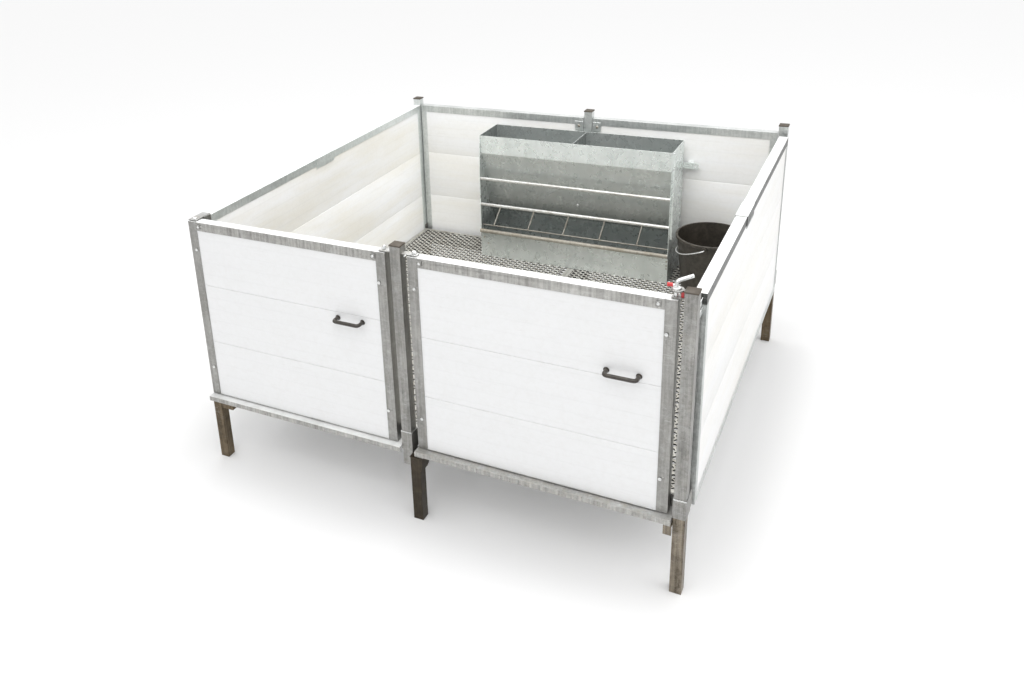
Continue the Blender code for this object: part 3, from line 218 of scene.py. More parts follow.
def dust_group():
    """Dust and dirt that lies on upward faces and gathers in soft spots."""
    tree, given, out = new_group("settled_dust", {
        "Place": POINT, "Colour": COLOUR, "Dust": COLOUR, "Amount": NUMBER, "Upward": NUMBER,
        "Spots": NUMBER}, {"Colour": COLOUR, "Mask": NUMBER})
    spots = tree.spread(tree.noise(given["Place"], given["Spots"], 5.0, 0.65), 0.42, 0.68)
    up = tree.spread(tree.facing()[2], 0.3, 0.95)
    share = tree.plus(tree.times(up, given["Upward"]), 0.35)
    mask = tree.times(spots, share, given["Amount"], clamp=True)
    tree.put(out, Colour=tree.blend(mask, given["Colour"], given["Dust"]), Mask=mask)
    return tree.tree


def scuff_group():
    """Fine rubbed lines: thin bands of a stretched noise near its middle value."""
    tree, given, out = new_group("rubbed_lines", {"Place": POINT, "Along": POINT, "Amount": NUMBER},
                                 {"Mask": NUMBER})
    field = tree.noise(tree.vector("MULTIPLY", given["Place"], given["Along"]), 1.0, 2.0, 0.5)
    line = tree.spread(tree.math("ABSOLUTE", tree.minus(field, 0.5)), 0.0, 0.012, 1.0, 0.0)
    where = tree.spread(tree.noise(given["Place"], 9.0, 2.0, 0.5), 0.5, 0.62)
    tree.put(out, Mask=tree.times(line, where, given["Amount"], clamp=True))
    return tree.tree


def rib_group():
    """Inner ribs of a hollow board showing through its skin: a soft dark line at every pitch of height."""
    tree, given, out = new_group("rib_shadow", {"Place": POINT, "Pitch": NUMBER, "Depth": NUMBER},
                                 {"Shade": NUMBER})
    turn = tree.math("FRACT", tree.math("DIVIDE", tree.axes(given["Place"])[2], given["Pitch"]))
    rib = tree.spread(tree.math("ABSOLUTE", tree.minus(turn, 0.5)), 0.40, 0.5)
    slow = tree.noise(tree.stretch(given["Place"], (0.8, 0.8, 9.0)), 1.0, 2.0, 0.5)
    wide = tree.times(tree.minus(slow, 0.5), 1.6)
    tree.put(out, Shade=tree.times(tree.plus(rib, wide), given["Depth"]))
    return tree.tree


GROUP_MAKERS = {"zinc": zinc_group, "dust": dust_group, "scuff": scuff_group, "rib": rib_group}
GROUPS = {}


def use_group(tree, name, **values):
    """Adds a shared node group to the tree, built the first time that it is asked for."""
    if name not in GROUPS:
        GROUPS[name] = GROUP_MAKERS[name]()
    return tree.add("ShaderNodeGroup", node_tree=GROUPS[name], **values)


def start_material(name):
    """A material with its shader, and the place of each point on the piece."""
    material = bpy.data.materials.new(name)
    material.use_nodes = True
    material.node_tree.nodes.clear()
    tree = Tree(material.node_tree)
    shader = tree.add("ShaderNodeBsdfPrincipled")
    tree.add("ShaderNodeOutputMaterial", Surface=shader.outputs[0])
    return material, tree, shader, tree.add("ShaderNodeTexCoord").outputs["Object"]


def bump(tree, height, distance):
    return tree.add("ShaderNodeBump", Height=height, Distance=distance, Strength=1.0).outputs[0]


def zinc_material(name, light, dark, patch=110.0, patches=0.4, runs=0.4, bloom=0.3, polish=0.4, metallic=0.85,
                  dust=0.15, dust_colour=BROWN_DUST, relief=0.0004, top=0.8, walls=1.0, above=None):
    """Zinc-coated steel with its own brightness, crystal size, run marks and dust; top whitens upward faces
    as a painted highlight. Its upright faces keep the share walls of their colour, a painted shade that
    darkens the inside of small holes. Above a height and behind a distance it may take other colours, used
    for
    painted shade: above holds height, distance, light and dark colour."""
    material, tree, shader, place = start_material(name)
    # Painted shade: above the height and behind the distance the colours turn to the other, darker ones
    if above:
        height, distance, *others = above
        y, z = tree.axes(place)[1:]
        part = tree.times(tree.spread(z, height - 0.002, height + 0.002),
                          tree.spread(y, distance - 0.002, distance + 0.002))
        light, dark = (tree.blend(part, first, second) for first, second in zip((light, dark), others))
    zinc = use_group(tree, "zinc", Place=place, Light=light, Dark=dark, Patch=patch, Patches=patches,
                     Runs=runs, Run_Pitch=110.0, Bloom=bloom, Top=top, Polish=polish)
    dirt = use_group(tree, "dust", Place=place, Colour=zinc.outputs["Colour"], Dust=dust_colour, Amount=dust,
                     Upward=0.6, Spots=26.0)
    lines = use_group(tree, "scuff", Place=place, Along=(5.0, 5.0, 120.0), Amount=0.35).outputs["Mask"]
    colour = tree.blend(lines, dirt.outputs["Colour"], (0.62, 0.63, 0.62))
    # Painted shade: upright faces keep only the share walls of their colour
    if walls < 1.0:
        colour = tree.blend(1.0, colour, tree.spread(tree.facing()[2], 0.25, 0.75, walls, 1.0), "MULTIPLY")
    rough = tree.plus(zinc.outputs["Roughness"], tree.times(dirt.outputs["Mask"], 0.4), clamp=True)
    tree.put(shader, Base_Color=colour, Roughness=rough, Normal=bump(tree, zinc.outputs["Height"], relief),
             Metallic=tree.spread(zinc.outputs["White"], 0.2, 0.8, metallic, metallic * 0.35))
    return material


def feeder_material(name):
    """Bright feeder sheet under painted shade: the parts that lean over are darkened towards their lower
    edge, and the inside of the hopper, the trough, the cheeks, the lower front and the sideways faces are
    darkened as well; dust and rubbed lines lie over it. Each mask picks one part of the sheet by its place
    and by the way that it faces."""
    low, high = FEEDER_LOW, FEEDER_HIGH
    material, tree, shader, place = start_material(name)
    zinc = use_group(tree, "zinc", Place=place, Light=(0.96, 1.0, 0.985), Dark=(0.70, 0.765, 0.745),
                     Patch=45.0, Patches=0.13, Runs=0.40, Run_Pitch=30.0, Bloom=0.0, Top=0.3, Polish=0.30)
    x, y, z = tree.axes(place)
    facing = tree.facing()
    slope_top, slope_end, foot, seat, lip = (high.z - drop for drop in (0.158, 0.418, 0.443, 0.488, 0.518))
    between = tree.times(tree.spread(x, low.x + 0.0010, low.x + 0.0018),
                         tree.spread(x, FEEDER_RIGHT - 0.0010, FEEDER_RIGHT - 0.0018))
    # Painted shade: faces that lean over darken, the more so lower down the slope
    lean = tree.spread(facing[2], -0.26, -0.03, tree.spread(z, slope_end, slope_top, 0.31, 0.60), 1.0)
    below_fold = tree.math("MAXIMUM", tree.minus(HOPPER_FOLD, z), 0.0)
    behind = tree.minus(y, tree.times(below_fold, HOPPER_LEAN))
    hopper = tree.times(tree.spread(behind, low.y + 0.0310, low.y + 0.0328),
                        tree.spread(z, foot, foot + 0.005))
    hopper = tree.times(hopper, between, tree.spread(facing[2], -0.1, -0.02),
                        tree.spread(y, high.y - 0.0010, high.y - 0.0018), tree.spread(facing[2], 0.90, 0.75))
    trough = tree.times(tree.spread(y, low.y + 0.0130, low.y + 0.0220), tree.spread(z, slope_end, seat))
    cheek = tree.times(between, tree.spread(z, lip, seat),
                       tree.spread(y, low.y + 0.012, low.y + 0.015, 0.0, 0.30),
                       tree.spread(facing[0], 0.5, 0.9))
    front = tree.times(tree.spread(z, lip, lip - 0.015), tree.spread(y, low.y + 0.0135, low.y + 0.0125))
    side = tree.spread(tree.math("ABSOLUTE", facing[0]), 0.5, 0.9, 0.0, 0.20)
    # Painted shade: each mask darkens its part of the sheet by its depth
    shade = lean
    for mask, depth in ((hopper, 0.42), (trough, 0.55), (cheek, 1.0), (front, 0.32), (side, 0.5)):
        shade = tree.times(shade, tree.spread(mask, 0.0, 1.0, 1.0, 1.0 - depth))
    colour = tree.blend(1.0, zinc.outputs["Colour"], shade, "MULTIPLY")
    dirt = use_group(tree, "dust", Place=place, Colour=colour, Dust=(0.26, 0.22, 0.15), Amount=0.20,
                     Upward=0.7, Spots=34.0)
    lines = use_group(tree, "scuff", Place=place, Along=(60.0, 60.0, 4.0), Amount=0.16).outputs["Mask"]
    rough = tree.plus(zinc.outputs["Roughness"], tree.times(dirt.outputs["Mask"], 0.35), clamp=True)
    tree.put(shader, Base_Color=tree.blend(lines, dirt.outputs["Colour"], (0.30, 0.29, 0.26)), Metallic=0.62,
             Roughness=rough, Normal=bump(tree, zinc.outputs["Height"], 0.00002))
    return material


def board_material(name, white, warm, amount, ribs):
    """Extruded white plastic: faint ribs, a warm stain in slow patches, and rubbed lines along the board."""
    material, tree, shader, place = start_material(name)
    shade = use_group(tree, "rib", Place=place, Pitch=0.0507, Depth=ribs).outputs["Shade"]
    stain = tree.spread(tree.noise(tree.stretch(place, (1.3, 1.3, 7.0)), 1.0, 5.0, 0.6), 0.36, 0.68)
    colour = tree.blend(tree.times(stain, amount), white, warm)
    colour = tree.blend(shade, colour, (0.30, 0.31, 0.33))
    rub = use_group(tree, "scuff", Place=place, Along=(3.0, 3.0, 90.0), Amount=0.12).outputs["Mask"]
    colour = tree.blend(rub, colour, (0.45, 0.43, 0.38))
    dirt = use_group(tree, "dust", Place=place, Colour=colour, Dust=PALE_DUST, Amount=0.16,
                     Upward=0.8, Spots=60.0)
    fine = tree.noise(tree.stretch(place, (6.0, 6.0, 220.0)), 1.0, 2.0)
    height = tree.minus(tree.times(fine, 0.25), tree.times(shade, 6.0))
    tree.put(shader, Base_Color=dirt.outputs["Colour"], IOR=1.53, Normal=bump(tree, height, 0.0005),
             Roughness=tree.spread(tree.noise(place, 40.0, 3.0), 0.3, 0.7, 0.30, 0.42))
    return material


def plastic_material(name, colour, worn, rough, grain=420.0, wear=0.25, relief=0.0002, coat=0.0, dust=0.22):
    """Moulded plastic with a fine grain, paler rubbed places and settled dust."""
    material, tree, shader, place = start_material(name)
    patch = tree.spread(tree.noise(place, 16.0, 4.0, 0.6), 0.45, 0.75)
    base = tree.blend(tree.times(patch, wear), colour, worn)
    rub = use_group(tree, "scuff", Place=place, Along=(24.0, 24.0, 60.0), Amount=wear).outputs["Mask"]
    base = tree.blend(rub, base, worn)
    dirt = use_group(tree, "dust", Place=place, Colour=base, Dust=(0.30, 0.26, 0.20), Amount=dust,
                     Upward=0.7, Spots=70.0)
    tree.put(shader, Base_Color=dirt.outputs["Colour"], Coat_Weight=coat,
             Normal=bump(tree, tree.noise(place, grain, 2.0, 0.6), relief),
             Roughness=tree.spread(tree.noise(place, 55.0, 3.0), 0.3, 0.7, rough - 0.06, rough + 0.08))
    return material


def scaled(colour, share=1.0):
    return tuple(value * share for value in colour)


def zinc(light, dark, **values):
    return zinc_material, {"light": light, "dark": dark, **values}


def board(white, warm, amount, ribs):
    return board_material, {"white": white, "warm": warm, "amount": amount, "ribs": ribs}


def plastic(colour, worn, rough, **values):
    return plastic_material, {"colour": colour, "worn": worn, "rough": rough, **values}


def finish_table():
    """Every finish by name: its maker, and the values in which it differs from the maker's own."""
    steel, boards = bpy.context.scene.pen_steel, bpy.context.scene.pen_board
    light, dark = scaled(steel.light), scaled(steel.dark)
    white, warm, ribs = scaled(boards.white), scaled(boards.warm), boards.ribs
    return {
        "rail_zinc": zinc(light, dark, patches=0.34, runs=0.85, polish=0.38, top=0.95),
        "frame_zinc": zinc(scaled(light, 0.74), scaled(dark, 0.80), patches=0.34, runs=0.6, polish=0.38,
                           top=0.95),
        "sill_zinc": zinc(scaled(light, 1.05), dark, patches=0.34, runs=0.85, bloom=0.45, dust=0.45,
                          dust_colour=PALE_DUST, top=0.35),
        "post_zinc": zinc(scaled(light, 0.78), scaled(dark, 0.66), patch=100.0, patches=0.34, runs=0.6,
                          bloom=0.22, polish=0.42, dust=0.3, top=0.4),
        "wall_zinc": zinc((0.92, 0.955, 0.945), (0.64, 0.68, 0.67), patches=0.34, bloom=0.4, polish=0.36,
                          top=0.9),
        "back_zinc": zinc((0.80, 0.82, 0.81), (0.50, 0.53, 0.52), patches=0.34, runs=0.5, polish=0.38,
                          dust=0.1, top=0.35),
        # The right wall frame's top rail turns darker above and behind as painted shade
        "outer_zinc": zinc((0.66, 0.68, 0.67), (0.36, 0.38, 0.37), runs=0.7, bloom=0.35, dust=0.1, top=0.95,
                           above=(RAIL_SHADE_ABOVE, RAIL_SHADE_BEHIND, RAIL_SHADE_PALE, RAIL_SHADE_DEEP)),
        "leg_zinc": zinc((0.30, 0.26, 0.205), (0.075, 0.062, 0.045), patch=55.0, runs=0.8, bloom=0.10,
                         metallic=0.75, dust=0.3, top=0.0),
        "brown_leg_zinc": zinc((0.190, 0.145, 0.092), (0.060, 0.043, 0.024), patch=55.0, runs=0.7, bloom=0.06,
                               metallic=0.75, dust=0.35, top=0.0),
        "shade_leg_zinc": zinc((0.055, 0.043, 0.029), (0.018, 0.014, 0.009), patch=55.0, patches=0.5,
                               runs=0.5, bloom=0.03, polish=0.42, metallic=0.7, dust=0.2, top=0.0),
        "floor_zinc": zinc((0.60, 0.59, 0.54), (0.34, 0.33, 0.285), patch=120.0, runs=0.2, metallic=0.75,
                           dust=0.45, dust_colour=FLOOR_DIRT, top=0.25),
        # mesh_zinc darkens the walls of its holes as painted shade
        "mesh_zinc": zinc((0.66, 0.645, 0.585), (0.36, 0.345, 0.295), patch=120.0, runs=0.2, polish=0.42,
                          metallic=0.6, dust=0.45, dust_colour=FLOOR_DIRT, top=0.25, walls=0.05),
        "feeder_zinc": (feeder_material, {}),
        "dusty_zinc": zinc((0.42, 0.40, 0.35), (0.20, 0.18, 0.145), patch=90.0, runs=0.5, bloom=0.2,
                           polish=0.5, metallic=0.5, dust=0.7, dust_colour=MEAL_DUST, relief=0.0003, top=0.1),
        "bar_zinc": zinc((0.74, 0.75, 0.73), (0.36, 0.35, 0.32), patch=160.0, runs=0.1, polish=0.34,
                         metallic=0.8, dust=0.35, dust_colour=(0.26, 0.20, 0.13), top=0.6),
        "rod_zinc": zinc((0.42, 0.40, 0.345), (0.16, 0.145, 0.115), patch=200.0, runs=0.1, bloom=0.2,
                         polish=0.42, metallic=0.6, dust=0.5, dust_colour=(0.22, 0.175, 0.115), top=0.3),
        "bright_zinc": zinc((0.84, 0.85, 0.84), (0.60, 0.61, 0.61), patch=140.0, patches=0.3, runs=0.2,
                            bloom=0.6, polish=0.32, metallic=0.72, dust=0.10),
        "bead_zinc": zinc((0.86, 0.87, 0.86), (0.40, 0.41, 0.41), patch=220.0, patches=0.5, runs=0.1,
                          bloom=0.7, polish=0.42, metallic=0.55, dust=0.1),
        # The gates' boards take a darker copy of the board as painted shade; the left wall's inner board
        # takes a brighter, creamier copy as painted light
        "gate_board": board(scaled(white, 0.915), scaled(white, 0.885), 0.6, ribs),
        "wall_board": board(white, warm, 0.55, ribs * 1.2),
        "cream_board": board(scaled(white, 1.06), scaled(warm, 1.06), 0.9, ribs * 1.5),
        "cap_plastic": plastic((0.060, 0.047, 0.034), (0.13, 0.11, 0.085), 0.50, dust=0.10),
        "handle_plastic": plastic((0.030, 0.025, 0.021), (0.075, 0.064, 0.052), 0.36, coat=0.15),
        "bucket_plastic": plastic((0.026, 0.022, 0.017), (0.10, 0.088, 0.07), 0.42, grain=260.0, wear=0.4,
                                  relief=0.0003),
        "red_plastic": plastic((0.56, 0.018, 0.024), (0.66, 0.10, 0.09), 0.34, wear=0.2, coat=0.2),
    }


MADE = {}


def material_of(name):
    """The material of that name, built the first time that it is asked for."""
    if name not in MADE:
        maker, values = finish_table()[name]
        MADE[name] = maker(name, **values)
    return MADE[name]


# Surfaces

def grid_faces(rows, columns, closed=False):
    """Quads of a grid of points kept row by row: each joins (r, c), (r, c+1), (r+1, c+1), (r+1, c). A closed
    grid joins each row's last point to its first."""
    r = np.arange(rows - 1)[:, None]
    c = np.arange(columns if closed else columns - 1)[None, :]
    after = (c + 1) % columns
    corners = (r * columns + c, r * columns + after, (r + 1) * columns + after, (r + 1) * columns + c)
    return np.stack([np.broadcast_to(k, (r.shape[0], c.shape[1])) for k in corners], -1).reshape(-1, 4)


def lathe(profile, centre, sides=48, axis="z"):
    """A profile of (radius, height) points carried round an axis: x = r cos t, y = r sin t, z = height."""
    profile = np.asarray(profile, float)
    turn = np.linspace(0.0, 2 * np.pi, sides, endpoint=False)
    r, h = profile[:, 0][:, None], profile[:, 1][:, None]
    a, b, c = r * np.cos(turn), r * np.sin(turn), h + 0 * turn
    order = {"z": (a, b, c), "y": (a, c, b)}[axis]
    points = np.stack(order, -1).reshape(-1, 3) + np.asarray(centre, float)
    return points, grid_faces(len(profile), sides, True)


def rounded(points, radius, steps=6):
    """A path through points with rounded corners: each becomes a quadratic arc between two cut points."""
    points = np.asarray(points, float)
    path = [points[:1]]
    t = np.linspace(0.0, 1.0, steps + 1)[:, None]
    for before, corner, after in zip(points[:-2], points[1:-1], points[2:]):
        a = corner + (before - corner) / np.linalg.norm(before - corner) * radius
        b = corner + (after - corner) / np.linalg.norm(after - corner) * radius
        path.append((1 - t) ** 2 * a + 2 * t * (1 - t) * corner + t ** 2 * b)
    path.append(points[-1:])
    return np.concatenate(path)


def carried(path, radius, side, sides=20):
    """A ring carried along a path: point = path + radius (cos t n + sin t b), n and b being square to the
    path. The ends close on the path's own end points."""
    path = np.asarray(path, float)
    along = np.gradient(path, axis=0)
    along /= np.linalg.norm(along, axis=1)[:, None]
    n = np.cross(along, np.asarray(side, float))
    n /= np.linalg.norm(n, axis=1)[:, None]
    b = np.cross(along, n)
    path, n, b = (np.concatenate([k[:1], k, k[-1:]]) for k in (path, n, b))
    reach = np.full(len(path), radius)
    reach[[0, -1]] = 0.0
    turn = np.linspace(0.0, 2 * np.pi, sides, endpoint=False)[None, :, None]
    ring = np.cos(turn) * n[:, None] + np.sin(turn) * b[:, None]
    points = path[:, None] + reach[:, None, None] * ring
    return points.reshape(-1, 3), grid_faces(len(path), sides, True)


def slab(x0, x1, y0, y1, z0, z1):
    """A box as a grid of two by four corners closed by its two end faces."""
    corner = np.array([(y0, z0), (y1, z0), (y1, z1), (y0, z1)])
    points = np.concatenate([np.column_stack([np.full(4, x), corner]) for x in (x0, x1)])
    faces = np.concatenate([grid_faces(2, 4, True), [[0, 1, 2, 3], [7, 6, 5, 4]]])
    return points, faces


def joined(*shells):
    """Several (points, faces) shells as one."""
    points, faces, start = [], [], 0
    for shell_points, shell_faces in shells:
        points.append(np.asarray(shell_points, float))
        faces.append(np.asarray(shell_faces) + start)
        start += len(shell_points)
    return np.concatenate(points), np.concatenate(faces)


def placed(name, data):
    """A new object of the scene."""
    item = bpy.data.objects.new(name, data)
    bpy.context.scene.collection.objects.link(item)
    return item


def piece(name, shell, material, body, replaces=(), smooth=True, bevel=0.0, thick=0.0):
    """Makes an object of a shell, closes its poles, turns its faces outwards, and sets it on its body."""
    points, faces = shell
    mesh = bpy.data.meshes.new(name)
    mesh.from_pydata(points.tolist(), [], faces.tolist())
    bm = bmesh.new()
    bm.from_mesh(mesh)
    bmesh.ops.remove_doubles(bm, verts=bm.verts, dist=1e-6)
    bmesh.ops.dissolve_degenerate(bm, edges=bm.edges, dist=1e-7)
    if not thick:
        bmesh.ops.recalc_face_normals(bm, faces=bm.faces)
    bm.to_mesh(mesh)
    bm.free()
    mesh.validate()
    item = placed(name, mesh)
    finish_piece(item, material, body, replaces, smooth, bevel)
    if thick:
        solid = item.modifiers.new("thickness", "SOLIDIFY")
        solid.thickness = thick
        solid.offset = -1.0


def finish_piece(item, material, body, replaces=(), smooth=True, bevel=0.0):
    """Gives an object its material, softened edges, body and slot."""
    mesh = item.data
    mesh.materials.clear()
    mesh.materials.append(material_of(material))
    if smooth:
        mesh.polygons.foreach_set("use_smooth", np.ones(len(mesh.polygons), bool))
        mesh.set_sharp_from_angle(angle=math.radians(38))
    if bevel:
        edge = item.modifiers.new("soft_edges", "BEVEL")
        edge.width = bevel
        edge.segments = 2
        edge.limit_method = "ANGLE"
        edge.angle_limit = math.radians(40)
        edge.harden_normals = True
    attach(item, body)
    if replaces:
        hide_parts(*replaces)


def dressed(node, material, bevel=0.0006):
    """A merged copy of a CAD node with softened edges, which stands for the node."""
    source = frame["nodes"][node]
    mesh = source.data.copy()
    mesh.name = node + "_shape"
    bm = bmesh.new()
    bm.from_mesh(mesh)
    bmesh.ops.remove_doubles(bm, verts=bm.verts, dist=1e-6)
    bmesh.ops.dissolve_limit(bm, angle_limit=math.radians(0.6), verts=bm.verts, edges=bm.edges)
    bm.to_mesh(mesh)
    bm.free()
    finish_piece(placed(node + "_shape", mesh), material, BODY_OF_NODE[node], (node,), True, bevel)


def dress_all(rows, bevel):
    """Dresses nodes row by row, each row being a material and its nodes."""
    for material, nodes in rows:
        for node in nodes:
            dressed(node, material, bevel)


class DressRows:
    """What the operators share that only dress rows of nodes."""
    rows, bevel = (), 0.0008

    def execute(self, context):
        dress_all(self.rows, self.bevel)
        return {"FINISHED"}


# Settings

def colour_setting(name, description, default):
    return FloatVectorProperty(name=name, description=description, subtype="COLOR", size=3, min=0.0, max=1.0,
                               default=default)


def length_setting(name, description, default, **limits):
    return FloatProperty(name=name, description=description, default=default, unit="LENGTH", **limits)


class SteelSettings(bpy.types.PropertyGroup):
    light: colour_setting("Light zinc", "Colour of the bright zinc crystals", (0.50, 0.495, 0.475))
    dark: colour_setting("Dark zinc", "Colour of the dull zinc crystals", (0.25, 0.247, 0.235))
    edge: length_setting("Edge", "Width of the softened edges of sheet and tube", 0.0006, min=0.0, max=0.003)


class BoardSettings(bpy.types.PropertyGroup):
    white: colour_setting("White", "Colour of clean board", (0.86, 0.865, 0.87))
    warm: colour_setting("Stain", "Colour of stained board", (0.79, 0.765, 0.69))
    ribs: FloatProperty(name="Ribs", description="How strongly the inner ribs show", default=0.035,
                        min=0.0, max=0.3)


class MeshSettings(bpy.types.PropertyGroup):
    pitch_x: length_setting("Long pitch", "Width of one diamond", 0.038)
    pitch_y: length_setting("Short pitch", "Depth of one diamond", 0.0292)
    hole: FloatProperty(name="Hole", description="Width of a hole as a share of its diamond", default=0.57,
                        min=0.3, max=0.9)
    thick: length_setting("Thickness", "Thickness of the strands", 0.0052)
    tilt: length_setting("Tilt", "Height between a strand's two edges", 0.0014)
    border: length_setting("Border", "Width of the plain strips", 0.017)


class FittingSettings(bpy.types.PropertyGroup):
    bead: length_setting("Weld bead", "Half width of the weld beads", 0.0022)
    sides: IntProperty(name="Roundness", description="Sides of the round bars", default=24, min=8, max=64)


class StageSettings(bpy.types.PropertyGroup):
    floor: length_setting("Floor", "Half width of the floor", 40.0)
    shade: colour_setting("Floor colour", "Colour of the plain floor", (0.87, 0.87, 0.87))
    sky: FloatProperty(name="Sky", description="Strength of the light from all round", default=0.755, min=0.0)
    key: FloatProperty(name="Key light", description="Power of the large soft light", default=120.0,
                       unit="POWER")


# Pieces

STEEL_ROWS = (
    ("rail_zinc", ("left_gate_top_rail", "right_gate_top_rail", "left_sill")),
    ("frame_zinc", ("left_gate_frame", "right_gate_frame")),
    ("sill_zinc", ("right_sill",)),
    ("post_zinc", ("front_centre_post", "front_right_post", "front_left_post")),
    ("back_zinc", ("back_left_wall_frame", "back_right_wall_frame", "back_left_post", "back_centre_post",
                   "back_right_post")),
    ("wall_zinc", ("left_wall_frame", "left_wall_splice")),
    ("outer_zinc", ("right_wall_frame", "right_wall_splice")),
)
BOARD_ROWS = (
    # The gates take the darker board as painted shade, and the left wall the brighter, creamier one as
    # painted light
    ("gate_board", [f"{side}_gate_{level}_plank" for side in ("left", "right")
                    for level in ("lower", "middle", "upper")]),
    ("cream_board", ("left_wall_board",)),
    ("wall_board", ("right_wall_board", "back_left_wall_board", "back_right_wall_board")),
)
LEG_ROWS = (
    ("leg_zinc", ("leg_front_right",)),
    ("brown_leg_zinc", ("leg_front_left", "leg_back_left", "leg_back_right")),
    ("shade_leg_zinc", ("leg_front_centre", "leg_back_centre")),
)
BEAMS = ("floor_beam_front", "floor_beam_back", "floor_beam_left", "floor_beam_right", "floor_centre_joist")
CAPS = ("front_centre_cap", "front_right_cap", "back_left_cap", "back_centre_cap", "back_right_cap")


class PEN_OT_frames(bpy.types.Operator):
    """Posts, wall frames, gate frames, sills and splices of zinc-coated sheet and tube"""
    bl_idname = "pen.frames"
    bl_label = "Frames and posts"

    def execute(self, context):
        dress_all(STEEL_ROWS, context.scene.pen_steel.edge)
        return {"FINISHED"}


class PEN_OT_boards(DressRows, bpy.types.Operator):
    """Hollow white boards of the walls and planks of the gates"""
    bl_idname = "pen.boards"
    bl_label = "Boards and planks"
    rows = BOARD_ROWS


def diamond_sheet(x0, x1, y0, y1, z, settings):
    """Staggered diamond cells: eight points on each cell's rim, eight on its hole, one ring of faces between.
    The rim lies at height z, and the hole's edge rises and falls by tilt times the sine of its turn."""
    columns = max(1, round((x1 - x0) / settings.pitch_x))
    rows = max(1, round((y1 - y0) / settings.pitch_y))
    px, py = (x1 - x0) / columns, (y1 - y0) / rows
    i, j = np.meshgrid(np.arange(columns), np.arange(rows), indexing="ij")
    full = np.stack([(i + 0.5) * px, (j + 0.5) * py], -1).reshape(-1, 2)
    i, j = np.meshgrid(np.arange(1, columns), np.arange(1, rows), indexing="ij")
    between = np.stack([i * px, j * py], -1).reshape(-1, 2)
    centres = np.concatenate([full, between]) + np.array([x0, y0])
    corner = np.array([(1, 0), (0.5, 0.5), (0, 1), (-0.5, 0.5), (-1, 0), (-0.5, -0.5), (0, -1), (0.5, -0.5)])
    rim = corner * np.array([px / 2, py / 2])
    hole = rim * np.where(np.arange(8)[:, None] % 2, settings.hole * 1.13, settings.hole)
    flat = centres[:, None, None] + np.stack([rim, hole])[None]
    lift = np.stack([np.zeros(8), corner[:, 1] * settings.tilt])[None] + np.zeros((len(centres), 1, 1))
    points = np.concatenate([flat, (z + lift)[..., None]], -1).reshape(-1, 3)
    one = grid_faces(2, 8, True)
    faces = (one[None] + 16 * np.arange(len(centres))[:, None, None]).reshape(-1, 4)
    return points, faces


class PEN_OT_floor(bpy.types.Operator):
    """Two walk-on panels of expanded mesh on plain strips, and the floor beams under them"""
    bl_idname = "pen.floor"
    bl_label = "Floor"

    def execute(self, context):
        settings = context.scene.pen_mesh
        border, lap = settings.border, 0.001
        for side in ("left", "right"):
            node = "floor_mesh_" + side
            low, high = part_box(node)
            x0, x1, y0, y1 = low.x + border, high.x - border, low.y + border, high.y - border
            sheet = diamond_sheet(x0 - lap, x1 + lap, y0 - lap, y1 + lap, high.z + 0.0002, settings)
            piece(f"{side}_floor_sheet", sheet, "mesh_zinc", "pen", smooth=False,
                  thick=settings.thick)
            flat = high.z - 0.0012
            edges = ((low.x, high.x, low.y, y0), (low.x, high.x, y1, high.y), (low.x, x0, y0, y1),
                     (x1, high.x, y0, y1))
            strips = joined(*[slab(*edge, low.z, flat) for edge in edges])
            piece(f"{side}_floor_strips", strips, "floor_zinc", "pen", (node,), False, 0.0004)
        dress_all([("post_zinc", BEAMS)], context.scene.pen_steel.edge)
        return {"FINISHED"}


class PEN_OT_legs(DressRows, bpy.types.Operator):
    """Six square legs with their head brackets"""
    bl_idname = "pen.legs"
    bl_label = "Legs"
    rows, bevel = LEG_ROWS, 0.0009


class PEN_OT_caps(DressRows, bpy.types.Operator):
    """Plastic caps on the posts"""
    bl_idname = "pen.caps"
    bl_label = "Post caps"
    rows, bevel = [("cap_plastic", CAPS)], 0.0007


class PEN_OT_handles(bpy.types.Operator):
    """Bridge handles on the gates"""
    bl_idname = "pen.handles"
    bl_label = "Handles"

    def execute(self, context):
        bar, end_step, bend = 0.0070, 0.0105, 0.013
        for side in ("left", "right"):
            node = side + "_gate_handle"
            low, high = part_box(node)
            z = (low.z + high.z) / 2
            face, front = high.y - 0.002, low.y + bar
            a, b = low.x + end_step, high.x - end_step
            corners = [(a, face, z), (a, front, z), (b, front, z), (b, face, z)]
            bow = carried(rounded(corners, bend, 8), bar, (0, 0, 1), context.scene.pen_fittings.sides)
            foot = [(0.0, face - 0.0025), (0.0060, face - 0.0025), (0.0098, face - 0.0008),
                    (0.0104, face + 0.0004), (0.0104, high.y - 0.0014), (0.0, high.y - 0.0014)]
            feet = [lathe(foot, (x, 0, z), 32, "y") for x in (a, b)]
            piece(side + "_handle_bow", joined(bow, *feet), "handle_plastic", BODY_OF_NODE[node],
                  (node,))
        return {"FINISHED"}


def turned_pin(node):
    """A drop pin: a slim stem under a waisted head that sits on the bridging plate."""
    low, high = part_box(node)
    x, y = (low.x + high.x) / 2, (low.y + high.y) / 2
    head, stem = (high.x - low.x) / 2, 0.0049
    seat = GATE_TOP + 0.0063
    tall = high.z - seat
    profile = [(0.0, low.z), (0.0036, low.z), (stem, low.z + 0.0018), (stem, seat), (head * 0.93, seat),
               (head, seat + 0.0006), (head, seat + tall * 0.55), (head * 0.9, seat + tall * 0.8),
               (head * 0.55, high.z - 0.0002), (0.0, high.z)]
    piece(node + "_turned", lathe(profile, (x, y, 0), 32), "bright_zinc", BODY_OF_NODE[node],
          (node,))


